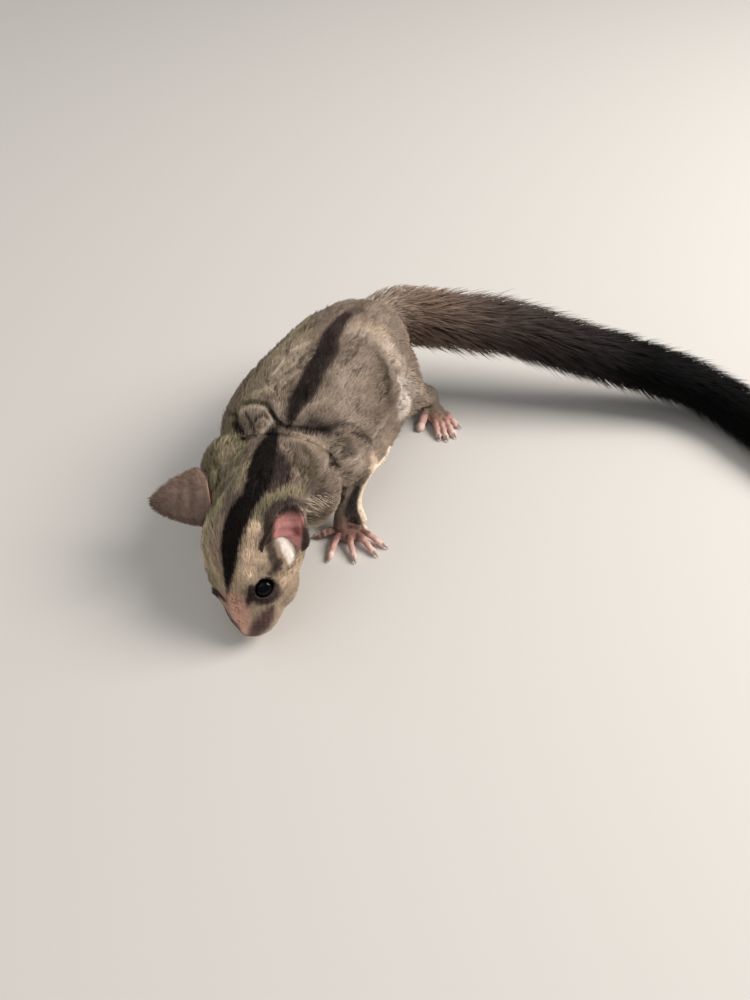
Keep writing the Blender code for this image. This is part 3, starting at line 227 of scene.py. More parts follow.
# Each marking: colour, strength, softness in pixels and its line of x, y and half width.
BODY_MARKS = [
    # The pale flank: partly its own colour, partly painted light where the flank faces up.
    ("olive_pale", 0.6, 16, [(306, 322, 12), (290, 345, 20), (270, 372, 22), (252, 396, 16)]),
    ("grey_pale", 0.5, 12, [(298, 345, 10), (285, 362, 12), (270, 380, 12), (258, 390, 10)]),
    # Painted shade on the scruff, on the side away from the light.
    ("olive_dark", 0.25, 10, [(234, 440, 8), (232, 465, 8)]),
    ("olive", 0.75, 16, [(236, 415, 12), (222, 446, 14), (211, 470, 14), (205, 500, 14)]),
    ("olive", 0.7, 8, [(243, 440, 6), (238, 462, 7), (228, 480, 7), (216, 500, 6)]),
    ("olive_dark", 0.6, 6, [(222, 466, 2), (219, 478, 3), (216, 490, 3)]),
    ("olive_dark", 0.75, 8, [(211, 464, 3), (207, 474, 6), (204, 488, 6), (201, 500, 3)]),
    ("umber", 0.6, 6, [(196, 478, 3), (205, 480, 6), (209, 492, 4), (204, 508, 4), (201, 522, 3)]),
    ("grey_pale", 0.7, 14, [(352, 330, 8), (372, 334, 12), (388, 345, 10)]),
    ("tan", 0.35, 14, [(362, 326, 8), (380, 330, 10)]),
    ("grey_pale", 0.35, 16, [(345, 372, 12), (352, 392, 14), (345, 408, 10)]),
    ("grey_dark", 0.35, 10, [(330, 342, 12), (345, 352, 8), (340, 362, 5)]),
    ("olive_dark", 0.55, 8, [(374, 350, 4), (382, 364, 7), (386, 378, 8), (389, 390, 7)]),
    ("umber", 0.8, 5, [(383, 360, 1.5), (386, 372, 2.5), (388, 384, 3.5), (386, 394, 2.5)]),
    ("purple", 0.35, 8, [(390, 400, 7), (391, 412, 7), (388, 422, 4)]),
    ("grey_dark", 0.45, 8, [(388, 398, 8), (391, 410, 8), (384, 424, 6), (376, 434, 4)]),
    ("grey_pale", 0.8, 8, [(386, 345, 7), (394, 358, 8), (404, 370, 9), (413, 382, 9), (420, 393, 5)]),
    ("grey_dark", 0.5, 8, [(418, 362, 4), (425, 375, 4), (427, 388, 3)]),
    ("white", 0.5, 8, [(399, 378, 5), (404, 388, 10), (405, 398, 12), (403, 408, 9), (400, 417, 4)]),
    # Painted highlight along the top of the nape's roll.
    ("grey_pale", 0.5, 6, [(297, 414, 4), (306, 407, 5), (317, 403, 5), (330, 400, 4)]),
    ("grey_pale", 0.25, 7, [(352, 419, 4), (364, 423, 5), (373, 430, 4), (384, 436, 3)]),
    # Painted shadow under the nape's roll, in its crease.
    ("umber", 0.85, 7, [(298, 427, 3), (309, 427, 5), (320, 428, 5.5), (332, 425, 3.5), (343, 420, 2)]),
    ("black", 0.6, 5, [(303, 428, 1.5), (315, 429, 3), (326, 428, 2), (338, 423, 1)]),
    ("umber", 0.7, 6, [(310, 421, 3), (318, 423, 4), (326, 432, 5)]),
    ("black", 0.85, 3, [(351, 432, 1.5), (358, 434, 2.6), (366, 438, 2.2), (372, 445, 1)]),
    ("tan", 0.35, 8, [(287, 434, 3), (298, 437, 5), (310, 443, 5), (322, 448, 4)]),
    # Painted shade on the side of the neck.
    ("grey_dark", 0.6, 16, [(298, 446, 12), (308, 460, 17), (318, 478, 15), (324, 492, 12)]),
    ("olive_dark", 0.55, 8, [(306, 452, 6), (312, 462, 7), (313, 470, 5)]),
    ("olive_dark", 0.8, 6, [(275, 455, 2.5), (288, 460, 4), (300, 467, 5), (312, 476, 5), (322, 481, 3)]),
    ("grey_pale", 0.55, 3, [(280, 461, 1.5), (286, 465, 2)]),
    # Painted shade in the crease beside the left forearm.
    ("umber", 0.6, 4, [(331, 463, 1.5), (333, 471, 2.5), (335, 478, 1.5)]),
    ("grey_pale", 0.55, 12, [(345, 450, 10), (356, 460, 11), (352, 474, 8), (349, 488, 5), (344, 500, 3)]),
    ("cream", 0.5, 6, [(372, 455, 3), (376, 463, 4), (371, 470, 4)]),
    # Painted shade where the neck meets the shoulder.
    ("grey_dark", 0.6, 8, [(302, 484, 6), (316, 490, 8), (328, 500, 7), (326, 512, 7), (316, 524, 7)]),
    # Painted shade in the crease beside the left forearm.
    ("umber", 0.75, 4, [(338, 478, 1.5), (341, 488, 2.5), (343, 498, 2.5), (339, 504, 1.5)]),
    # Painted shadow on the web between the left forearm and the membrane's pale edge.
    ("black", 0.95, 5, [(357, 489, 4), (353, 502, 7), (351, 512, 9), (353, 521, 8)]),
    # Painted shade in the pit of the left nape's rolls.
    ("olive_dark", 0.8, 4, [(236, 414, 2), (239, 424, 4), (240, 430, 5), (245, 440, 2.5)]),
    ("black", 0.85, 4, [(234, 423, 3), (240, 428, 5), (245, 435, 3)]),
    # Painted shadow along the outer crease of the left nape's rolls.
    ("olive_dark", 0.75, 4, [
        (243, 403, 2.5), (255, 403, 3.5), (268, 405, 3.5), (274, 413, 3.5), (280, 423, 4),
    ]),
    # Painted shadow at the start of the nape's crease.
    ("black", 0.6, 4, [(272, 410, 1.5), (276, 418, 3), (283, 427, 4), (290, 430, 3)]),
    # Painted highlights on the ridges of the left nape's rolls.
    ("grey_pale", 0.8, 4, [(242, 412, 3), (252, 409, 4), (262, 409, 3)]),
    ("grey_pale", 0.8, 4, [(270, 422, 3), (266, 426, 4), (259, 434, 4)]),
    ("grey_pale", 0.8, 3, [(276, 400, 3), (279, 409, 4), (281, 417, 3)]),
    # Painted shade in the fine creases between these ridges.
    ("umber", 0.7, 2, [(246, 413, 1.2), (250, 420, 1.8), (254, 431, 2.2), (256, 437, 1.2)]),
    ("umber", 0.6, 2, [(253, 424, 0.9), (257, 418, 1.4), (263, 415, 1.0)]),
    ("umber", 0.5, 9, [(374, 301, 3), (362, 308, 6), (352, 314, 6)]),
    ("umber", 0.95, 5, [
        (348, 315, 5), (338, 325, 7), (330, 338, 9), (328, 350, 11), (322, 361, 10.5), (314, 371, 10),
        (311, 381, 10.5), (305, 391, 11), (298, 401, 9.5), (294, 411, 6.5), (290, 420, 4), (289, 428, 2.5),
    ]),
    ("black", 0.6, 6, [
        (330, 338, 4), (327, 350, 6), (320, 361, 7), (313, 372, 7), (309, 382, 8), (303, 392, 8),
        (296, 402, 6), (292, 412, 4), (289, 424, 2),
    ]),
    ("umber", 0.75, 8, [(280, 452, 3), (283, 464, 7), (284, 474, 8)]),
    ("umber", 0.9, 6, [(275, 456, 6), (281, 466, 10), (281, 477, 10), (270, 486, 8)]),
    ("olive_pale", 0.75, 5, [(236, 489, 4), (242, 478, 4), (247, 464, 4)]),
]

# Markings of one side of the face, which the other side mirrors.
FACE_MARKS = [
    ("olive", 0.8, 8, [(302, 489, 5), (286, 493, 6), (272, 500, 7), (262, 511, 6), (257, 521, 6)]),
    ("cream", 1.0, 7, [(256, 528, 7), (257, 541, 10), (256, 553, 12), (249, 566, 9), (242, 578, 6)]),
    ("tan", 0.7, 7, [(243, 576, 5), (238, 588, 6), (236, 598, 6)]),
    ("grey", 0.4, 7, [(288, 570, 5), (285, 584, 6), (280, 597, 5)]),
    ("umber", 0.85, 5, [
        (304, 505, 3), (290, 501, 4), (277, 505, 5), (269, 516, 5.5), (267, 530, 5), (269, 545, 4.5),
        (273, 557, 5), (276, 566, 5),
    ]),
    ("umber", 0.8, 5, [(270, 573, 3), (277, 569, 4.5), (280, 562, 4)]),
    ("plum", 0.9, 3, [(252, 588, 4), (251, 597, 4), (248, 603, 2.5)]),
    ("purple", 0.7, 3, [(247, 600, 3), (247, 606, 2)]),
    ("white", 1.0, 5, [(281, 539, 4), (287, 546, 7), (291, 553, 6.5), (291, 560, 4)]),
    ("cream", 0.9, 5, [(300, 556, 4), (297, 566, 6), (286, 578, 5.5), (278, 590, 4.5), (268, 600, 3.5)]),
    ("grey", 0.6, 6, [(305, 566, 3), (299, 580, 4), (292, 592, 4), (282, 604, 3)]),
    ("grey_dark", 0.6, 3, [(302, 540, 2), (304, 548, 1.5)]),
    ("white", 0.7, 2, [(309, 544, 1.5), (305, 553, 1.5)]),
    ("salmon", 0.9, 10, [(238, 598, 6), (240, 610, 10), (242, 622, 10), (244, 632, 7)]),
    # Painted shade on the lower side of the muzzle, mirrored to the other side.
    ("purple", 0.9, 9, [(272, 608, 4), (267, 617, 8), (261, 626, 9), (252, 636, 6)]),
]

# Markings over all others, on the side that the photo shows.
TOP_MARKS = [
    ("olive_pale", 0.9, 6, [
        (222, 500, 7), (213, 519, 7), (207, 535, 7), (206, 550, 6.5), (210, 566, 6), (213, 582, 6.5),
        (217, 598, 6), (222, 610, 4),
    ]),
    ("black", 1.0, 5, [
        (274, 431, 6), (270, 442, 9), (266, 452, 11.5), (263, 463, 13), (261, 474, 13.5), (257, 486, 12),
        (251, 498, 9.5), (241, 512, 12.5), (236, 523, 12.5), (232, 535, 11.5), (230, 547, 11),
        (229, 558, 9.5), (229, 568, 7.5), (228, 578, 5), (228, 586, 3), (228, 592, 1.5),
    ]),
    ("olive_dark", 0.6, 4, [(227, 590, 2), (227, 602, 1.5)]),
]

# The fringe of pale hair along the free edges of the membranes, from the wrist.
FRINGE = ("ivory", 0.95, 1.6, 1.0)  # colour, strength, half width and softness in millimetres
FRINGE_END = 8  # of the left membrane's edge points
# The dark ring round an eye: colour, strength, and the distances in millimetres from the eye's middle
# where it fades, on the left and on the right.
EYE_RING = ("plum", 0.95, {1: (4.7, 6.2), -1: (4.7, 5.2)})

# Long pale hairs of the throat, towards the wrist: the pixels of root and tip.
LONG_HAIRS = [
    ((302, 502), (320, 507)), ((306, 500), (328, 512)), ((312, 498), (333, 514)), ((319, 497), (337, 508)),
    ((308, 508), (327, 517)), ((311, 514), (330, 521)), ((308, 520), (322, 525)), ((316, 506), (333, 518)),
    ((324, 497), (337, 505)), ((300, 508), (314, 513)),
]
LONG_HAIR_EACH = 16

BODY_HAIR = 2.8  # millimetres
WRINKLE_SHADE = 0.42  # painted shade: the coat's brightness along a fine crease
BODY_TUFTS, TAIL_TUFTS, EAR_TUFTS, TUFTS_A_PIECE = 100000, 22000, 4500, 19500
HEAD_TUFTS_SHARE = 2.1  # how much closer the tufts of the head stand
CLUMP_SIZE, CLUMP_PULL = 1.5, 0.55
SCATTER, LIFT = 0.13, (0.14, 0.36)  # of the short hair's lie, and its rise off the skin
TAIL_COAT_START, TAIL_SPREAD, TAIL_HAIR = 9.0, 33, (3.2, 13.5)  # the last two in degrees and in millimetres
TAIL_PIECES = 3
# Along a hair of the tail: share, how far forward and how far out.
TAIL_HAIR_LINE = [(0.0, 0.0, 0.0), (0.33, 0.26, 0.21), (0.68, 0.58, 0.39), (1.0, 0.9, 0.5)]
# The tail's colours by the distance in millimetres along it.
TAIL_SHADES = [
    ("grey_pale", 12.0), ("tail", 29.0), ("tail_brown", 47.0), ("tail_umber", 68.0), ("tail_black", 90.0),
    ("tail_dark", 106.0),
]
ROOT_SHADE, TIP_SHADE = 0.72, 1.14
PAW_REACH = 26.0
PATCH = 0.003  # the width of a tuft's place on its map
LIGHT_AIM = (-0.04, 0.0, 0.03)
# Each lamp: name, direction, distance and size in metres, watts and colour.
LIGHTS = [
    ("key", (0.72, 0.06, 0.66), 0.9, 0.5, 10.5, (1.0, 0.95, 0.9)),
    ("fill", (-0.5, 0.0, 0.86), 1.2, 1.8, 7.5, (1.0, 0.97, 0.93)),
]
SKY_COLOUR, SKY_STRENGTH = (0.95, 0.97, 1.0), 0.22
FLOOR_COLOUR, FLOOR_SIZE = (0.62, 0.60, 0.57), 3.0


def in_head(back, left, up):
    """A point of the head's own axes in the layout."""
    return NOSE_TIP + HEAD_BACK * back + HEAD_LEFT * left + HEAD_UP * up


def in_metres(point):
    """A layout point in millimetres as a point of the model in metres."""
    return (Vector(point) - FLOOR_CENTRE) * MM


def in_layout(points):
    """Points of the model in metres as layout points in millimetres."""
    return points / MM + np.array(FLOOR_CENTRE)


def lines_in_metres(lines):
    """Lines of layout points as arrays in metres."""
    return [np.array([in_metres(point[:3]) for point in line]) for line in lines]


def head_direction(back, left, up):
    """A unit vector of the head's own axes in the layout."""
    return (HEAD_BACK * back + HEAD_LEFT * left + HEAD_UP * up).normalized()


def photo_ray(u, v):
    """The direction in which the camera sees a pixel of the photo."""
    pitch = math.radians(CAMERA_PITCH)
    forward = Vector((0, math.cos(pitch), -math.sin(pitch)))
    upward = Vector((0, math.sin(pitch), math.cos(pitch)))
    right = (u - PHOTO_SIZE[0] / 2) / CAMERA_FOCAL
    rise = (PHOTO_SIZE[1] / 2 - v) / CAMERA_FOCAL
    return (forward + Vector((1, 0, 0)) * right + upward * rise).normalized()


def smooth(value, low, high):
    """0 below low, 1 above high and an even rise between."""
    share = np.clip((value - low) / (high - low), 0, 1)
    return share * share * (3 - 2 * share)


def mix(first, second, share):
    """A blend of two colours by a share for each point."""
    return np.array(first) * (1 - share[:, None]) + np.array(second) * share[:, None]


def from_segment(points, a, b):
    """The share of the way from a to b where each point is nearest, and how far off the segment it lies."""
    span = b - a
    share = np.clip((points - a) @ span / max(span @ span, 1e-12), 0, 1)
    return share, points - a - share[:, None] * span


def line_distance(points, line):
    """The distance in millimetres of each point from a line through layout points."""
    line = lines_in_metres([line])[0]
    least = np.full(len(points), np.inf)
    for a, b in zip(line, line[1:]):
        least = np.minimum(least, np.linalg.norm(from_segment(points, a, b)[1], axis=1))
    return least / MM


def head_local(points):
    """Points in metres as back, left and up of the head's axes, in millimetres."""
    axes = np.array([HEAD_BACK, HEAD_LEFT, HEAD_UP])
    return ((points - np.array(in_metres(NOSE_TIP))) @ axes.T) / MM


def mirror_in_head(point):
    """The point on the other side of the head."""
    back, left, up = head_local(np.array([point]))[0]
    return np.array(in_metres(in_head(back, -left, up)))


def eye_middles():
    """The middles of the left and right eye, in metres."""
    left = np.array(in_metres(in_head(*EYE_PLACE)))
    return left, mirror_in_head(left)


# Meshes


def new_object(name, mesh):
    """Links a mesh to the scene under a name."""
    made = bpy.data.objects.new(name, mesh)
    bpy.context.scene.collection.objects.link(made)
    return made


def face_out(form):
    """Turns the faces of a closed bmesh outward."""
    form.normal_update()
    bmesh.ops.recalc_face_normals(form, faces=form.faces)
    if form.calc_volume(signed=True) < 0:
        bmesh.ops.reverse_faces(form, faces=form.faces)


def object_of(name, form):
    """Turns a closed bmesh into an object, with its faces pointing out."""
    face_out(form)
    mesh = bpy.data.meshes.new(name)
    form.to_mesh(mesh)
    form.free()
    return new_object(name, mesh)


def through(rows, steps):
    """Rows of numbers joined by a smooth curve through each."""
    rows = np.array(rows, float)
    ends = np.vstack([2 * rows[0] - rows[1], rows, 2 * rows[-1] - rows[-2]])
    made = []
    for i in range(len(rows) - 1):
        a, b, c, d = ends[i : i + 4]
        second, third = 2 * a - 5 * b + 4 * c - d, 3 * b - a - 3 * c + d
        for t in np.arange(steps) / steps:
            made.append(0.5 * (2 * b + (c - a) * t + second * t**2 + third * t**3))
    return np.array([*made, rows[-1]])


def evaluated_mesh(source):
    """The mesh of an object with its modifiers applied."""
    graph = bpy.context.evaluated_depsgraph_get()
    graph.update()
    return bpy.data.meshes.new_from_object(source.evaluated_get(graph))


def apply_modifiers(target):
    """Bakes an object's modifiers into its mesh."""
    made = evaluated_mesh(target)
    target.modifiers.clear()
    target.data = made


def tube(name, rows, steps=4, sides=16):
    """A round closed tube through rows of x, y, z and radius, with rounded ends."""
    rows = through(rows, steps)
    points, radii = rows[:, :3], rows[:, 3]
    start = (points[0] - points[1]) / np.linalg.norm(points[0] - points[1])
    end = (points[-1] - points[-2]) / np.linalg.norm(points[-1] - points[-2])
    turns = [(0.5, 0.866), (0.85, 0.527), (0.98, 0.2)]
    before = [(points[0] + start * radii[0] * out, radii[0] * share) for out, share in reversed(turns)]
    after = [(points[-1] + end * radii[-1] * out, radii[-1] * share) for out, share in turns]
    line = [*before, *zip(points, radii), *after]
    places = np.array([p for p, _ in line])
    tangents = np.gradient(places, axis=0)
    form = bmesh.new()
    side = Vector(tangents[0]).orthogonal().normalized()
    rings = []
    for (place, radius), tangent in zip(line, tangents):
        along = Vector(tangent).normalized()
        side = (side - along * side.dot(along)).normalized()
        top = along.cross(side)
        ring = []
        for k in range(sides):
            angle = math.tau * k / sides
            point = Vector(place) + (side * math.cos(angle) + top * math.sin(angle)) * radius
            ring.append(form.verts.new(in_metres(point)))
        rings.append(ring)
    for first, second in zip(rings, rings[1:]):
        for k in range(sides):
            form.faces.new((first[k], first[k - 1], second[k - 1], second[k]))
    form.faces.new(rings[0])
    form.faces.new(rings[-1])
    return object_of(name, form)


def ellipsoid(name, centre, radii, axes=(Vector((1, 0, 0)), Vector((0, 1, 0)), UP), segments=32):
    """A stretched ball. axes are the directions of its three radii."""
    form = bmesh.new()
    bmesh.ops.create_uvsphere(form, u_segments=segments, v_segments=segments // 2, radius=1.0)
    turn = Matrix([axis * radius * MM for axis, radius in zip(axes, radii)]).transposed()
    for vertex in form.verts:
        vertex.co = turn @ vertex.co + in_metres(centre)
    return object_of(name, form)


def mend(mesh, weld=None):
    """Turns the faces of a closed mesh outward, after joining the points that lie within weld."""
    form = bmesh.new()
    form.from_mesh(mesh)
    if weld:
        bmesh.ops.remove_doubles(form, verts=form.verts, dist=weld)
    face_out(form)
    form.to_mesh(mesh)
    form.free()


def swollen(source):
    """A copy of a solid, moved outward along its normals."""
    copy = new_object(source.name + "_copy", source.data.copy())
    mend(copy.data, 1e-6)
    points, normals = points_of(copy), normals_of(copy)
    set_points(copy, points + normals * SWELL * MM)
    return copy


def points_of(target):
    """The vertex places of an object, as an array."""
    made = np.empty(len(target.data.vertices) * 3, np.float32)
    target.data.vertices.foreach_get("co", made)
    return made.reshape(-1, 3).astype(float)


def normals_of(target):
    """The vertex normals of an object, as an array."""
    made = np.empty(len(target.data.vertices) * 3, np.float32)
    target.data.vertices.foreach_get("normal", made)
    return made.reshape(-1, 3).astype(float)


def set_points(target, points):
    """Moves an object's vertices."""
    target.data.vertices.foreach_set("co", points.astype(np.float32).ravel())
    target.data.update()


def fuse(name, pieces, voxel, smoothing):
    """Joins overlapping closed pieces into one smooth skin."""
    form = bmesh.new()
    for piece in pieces:
        form.from_mesh(piece.data)
        bpy.data.objects.remove(piece)
    fused = object_of(name, form)
    remesh = fused.modifiers.new("fuse", "REMESH")
    remesh.mode = "VOXEL"
    remesh.voxel_size = voxel * MM
    soften = fused.modifiers.new("soften", "SMOOTH")
    soften.factor = 0.5
    soften.iterations = smoothing
    apply_modifiers(fused)
    return fused


def union(target, others):
    """Joins closed meshes into target by Booleans, and removes them."""
    for other in others:
        step = target.modifiers.new("union", "BOOLEAN")
        step.operation = "UNION"
        step.solver = "MANIFOLD"
        step.object = other
        apply_modifiers(target)
        bpy.data.objects.remove(other)


def tree_of(target):
    """A search tree over an object's faces."""
    form = bmesh.new()
    form.from_mesh(target.data)
    tree = BVHTree.FromBMesh(form)
    form.free()
    return tree


# The skin


class TailLine:
    """The tail's centre line: places, directions and coat radius by distance along it."""

    def __init__(self):
        rows = through(TAIL_PATH, 12)
        self.places, self.radii = rows[:, :3], rows[:, 3]
        steps = np.linalg.norm(np.diff(self.places, axis=0), axis=1)
        self.along = np.concatenate([[0.0], np.cumsum(steps)])
        self.length = self.along[-1]

    def place(self, distance):
        return np.stack([np.interp(distance, self.along, self.places[:, k]) for k in range(3)], axis=-1)

    def direction(self, distance):
        ends = self.place(np.minimum(distance + 1, self.length)) - self.place(np.maximum(distance - 1, 0))
        return ends / np.linalg.norm(ends, axis=-1, keepdims=True)

    def radius(self, distance):
        return np.interp(distance, self.along, self.radii)

    def core(self, distance):
        fade = np.clip((distance - ROOT_START) / ROOT_FADE, 0, 1)
        return self.radius(distance) * (ROOT_SHARE + (CORE_SHARE - ROOT_SHARE) * fade)


TAIL = TailLine()


def paw_axes(limb, heading, side):
    """The point of the floor under a wrist, and the directions ahead of it and outward."""
    forward = Vector((math.cos(math.radians(heading)), math.sin(math.radians(heading)), 0))
    return Vector((*limb[-2][:2], 0)), forward, UP.cross(forward) * side


def digit_rows(plan, limb, heading, side):
    """For each digit of a paw: start, bone and direction on the floor, radius and whether it has a claw."""
    base, forward, across = paw_axes(limb, heading, side)
    for number, (root, end, radius) in enumerate(plan["digits"]):
        start = base + forward * root[0] + across * root[1]
        reach = forward * (end[0] - root[0]) + across * (end[1] - root[1])
        claw = 0.0 if number == plan["clawless"] else CLAW_LENGTH
        yield start, reach * (1 - claw / reach.length), reach.normalized(), radius, bool(claw)


def make_paw(plan, limb, heading, side):
    """The bare flesh of a hand or foot, and its claws, as closed pieces."""
    base, forward, across = paw_axes(limb, heading, side)
    length, width, height = plan["palm"]
    middle = base + forward * plan["sole"][0] + across * plan["sole"][1]
    pieces = [ellipsoid("palm", middle + UP * height, (length, width, height), (forward, across, UP))]
    pieces.append(tube("stump", limb[-4:]))
    claws = []
    for start, bone, along, radius, clawed in digit_rows(plan, limb, heading, side):
        rows = [(*(start + bone * share + UP * up), radius * swell) for share, up, swell in DIGIT_SHAPE]
        pieces.append(tube("digit", rows, 5))
        if clawed:
            hook = [(*(start + bone + along * out + UP * up), thick) for out, up, thick in CLAW_SHAPE]
            claws.append(tube("claw", hook, 5, 12))
    return pieces, claws


def cut_flat(target, height):
    """Raises what lies under a height to it, so that soles rest flat."""
    points = points_of(target)
    points[:, 2] = np.maximum(points[:, 2], height * MM)
    set_points(target, points)


def ear_axes(plan):
    """An ear's root, and its directions towards the tip, out of the opening and across."""
    base, tip, facing = plan[:3]
    along, front = head_direction(*tip), head_direction(*facing)
    front = (front - along * front.dot(along)).normalized()
    return in_head(*base), along, front, along.cross(front)


def ear_width(height):
    """The share of an ear's half width at a share of its height: a narrower root and a rounded tip."""
    root = 0.7 + 0.3 * math.sin(min(height / 0.25, 1.0) * math.pi / 2)
    return max(root * (1 - height**1.8) ** 0.62, 0.16)


def bell(value, middle, width):
    """1 at the middle, and less on both sides of it."""
    return math.exp(-(((value - middle) / width) ** 2))


def make_ear(plan, rings=48, columns=53):
    """A thin cupped ear with a rolled edge and folds inside."""
    root, along, front, across = ear_axes(plan)
    length, half_width = plan[3:5]
    outward = head_direction(0, plan[0][1], plan[0][2])
    form = bmesh.new()
    grid = []
    for i in range(rings):
        height = 1 - (1 - i / (rings - 1)) ** 1.5
        wrap = math.radians(EAR_WRAP - EAR_OPENING * height**0.7)
        bend = half_width * ear_width(height) / math.sin(min(wrap, math.pi / 2))
        row = []
        for j in range(columns):
            share = 2 * j / (columns - 1) - 1
            angle = share * wrap * (plan[5] if share > 0 else 1.0)
            point = root + along * length * (height - EAR_SINK)
            forward = (1 - math.cos(angle)) * bend * EAR_CUP
            point += across * math.sin(angle) * bend + front * forward
            point -= outward * forward * front.dot(outward) * (1 - height) ** EAR_SETTLING
            fold = 0.45 * math.sin(height * 26.0 + 2.4 * share**2) * bell(height, 0.36, 0.2)
            fold *= bell(share, 0.0, 0.6)
            ridge = 0.5 * bell(abs(share), 0.62, 0.12) * bell(height, 0.45, 0.3)
            roll = max(abs(share) - 0.86, 0) / 0.14 + max(height - 0.93, 0) / 0.07
            point += front * (fold + ridge + roll * 0.4)
            row.append(form.verts.new(in_metres(point)))
        grid.append(row)
    for first, second in zip(grid, grid[1:]):
        for j in range(columns - 1):
            form.faces.new((first[j], first[j + 1], second[j + 1], second[j]))
    form.normal_update()
    mesh = bpy.data.meshes.new("ear")
    form.to_mesh(mesh)
    form.free()
    ear = new_object("ear", mesh)
    skin = ear.modifiers.new("wall", "SOLIDIFY")
    skin.thickness = EAR_WALL * MM
    skin.offset = 0.0
    skin.use_even_offset = True
    apply_modifiers(ear)
    mend(ear.data)
    return ear


def head_depth(points):
    """How deep the skin of the head lies under its coat: least round the eyes and on the muzzle."""
    back = head_local(points)[:, 0]
    depth = COAT_DEPTH["head"] + (COAT_DEPTH["body"] - COAT_DEPTH["head"]) * smooth(back, 24.0, 38.0)
    for middle in eye_middles():
        away = np.linalg.norm(points - middle, axis=1) / MM
        depth *= smooth(away, EYE_RADIUS + 1.2, EYE_RADIUS + 4.0)
    return depth * smooth(back, 0.0, 14.0) + NAPE_SINK * smooth(back, NECK_CUT + 5.0, NECK_CUT + 12.0)


def body_depth(points):
    """How deep the skin of the body lies under its coat: least on the thin membranes and at the paws."""
    thin = np.full(len(points), np.inf)
    for line in (MEMBRANE_EDGE_LEFT, MEMBRANE_EDGE_RIGHT, FORELEG_LEFT[-4:], FORELEG_RIGHT[-4:]):
        thin = np.minimum(thin, line_distance(points, line))
    return COAT_DEPTH["body"] * (0.1 + 0.9 * smooth(thin, 4.0, 13.0))


def make_skin():
    """The skin of the whole animal with its paws, and the claws of each paw."""
    nodes = frame["nodes"]
    head = fuse("head_skin", [swollen(nodes["head"]), swollen(nodes["neck"])], 0.34, 3)
    body = [swollen(nodes[name]) for name in FLESH if name != "head"]
    stops = np.linspace(0.0, TAIL.length, 40)
    body.append(tube("tail_core", [(*TAIL.place(s), TAIL.core(s)) for s in stops], 1, 20))
    body = fuse("body_skin", body, 0.55, 5)
    for piece, depth in ((head, head_depth), (body, body_depth)):
        points = points_of(piece)
        inward = (SWELL + depth(points)) * MM
        set_points(piece, points - normals_of(piece) * inward[:, None])
    skin = fuse("skin", [head, body], 0.42, 3)
    soften(skin, np.abs(head_local(points_of(skin))[:, 0] - NECK_CUT) < NAPE_REACH, NAPE_SMOOTHING)
    add_folds(skin)
    thin_out(skin, SKIN_FACES)
    claws = {}
    for name, plan in PAWS.items():
        flesh, hooks = make_paw(*plan)
        flesh += [tube("web", WEB)] if name == "hand_left" else []
        paw = fuse(name, flesh, 0.22, 2)
        cut_flat(paw, 0.05)
        union(skin, [paw])
        claws[name] = join(f"{name}_claws", hooks)
    return skin, claws


def soften(target, chosen, times):
    """Smooths only the chosen vertices of a mesh."""
    group = target.vertex_groups.new(name="chosen")
    group.add([int(index) for index in np.flatnonzero(chosen)], 1.0, "REPLACE")
    step = target.modifiers.new("soften", "SMOOTH")
    step.vertex_group = group.name
    step.factor, step.iterations = 0.5, times
    apply_modifiers(target)
    target.vertex_groups.clear()


def thin_out(target, faces):
    """Leaves about so many triangles of a mesh."""
    present = sum(len(face.vertices) - 2 for face in target.data.polygons)
    thinner = target.modifiers.new("thin", "DECIMATE")
    thinner.ratio = min(1.0, faces / present)
    apply_modifiers(target)


def join(name, pieces):
    """Makes one object of several closed pieces, without fusing them."""
    form = bmesh.new()
    for piece in pieces:
        form.from_mesh(piece.data)
        bpy.data.objects.remove(piece)
    mesh = bpy.data.meshes.new(name)
    form.to_mesh(mesh)
    form.free()
    return new_object(name, mesh)


class Lines:
    """A set of stroked lines in space, each segment with its two ends and half widths."""

    def __init__(self, rows):
        self.rows = rows

    def nearness(self, points, soft):
        """How far into the strokes each point is: 1 well inside, 0 beyond the soft edge."""
        best = np.zeros(len(points))
        for (a, ra), (b, rb) in zip(self.rows, self.rows[1:]):
            share, off = from_segment(points, a, b)
            reach = ra + (rb - ra) * share
            best = np.maximum(best, np.clip((reach + soft / 2 - np.linalg.norm(off, axis=1)) / soft, 0, 1))
        return best * best * (3 - 2 * best)


def on_surface(tree, line):
    """Pixels of the photo as points on the skin, each with the size of a pixel there."""
    eye = in_metres(CAMERA_PLACE)
    rows = []
    for u, v, width in line:
        direction = photo_ray(u, v)
        hit, _, _, distance = tree.ray_cast(eye, direction)
        if hit is None:
            hit, _, _, distance = tree.find_nearest(eye + direction * 0.33)
            distance = (hit - eye).length
        rows.append((np.array(hit), width * distance / CAMERA_FOCAL))
    return rows


def add_folds(skin):
    """Presses the creases and wrinkles into the skin and raises the rolls."""
    tree = tree_of(skin)
    points, normals = points_of(skin), normals_of(skin)
    moved = np.zeros(len(points))
    for height, half, line in FOLDS:
        rows = on_surface(tree, [(u, v, half) for u, v in line])
        close = Lines([(place, 0.0) for place, _ in rows]).nearness(points, 2 * rows[1][1])
        moved += close * height
    moved = np.clip(moved * FOLD_SCALE, FOLD_LEAST, FOLD_MOST) - WRINKLE_DEPTH * (1 - wrinkles(points))
    set_points(skin, points + normals * (moved * MM)[:, None])


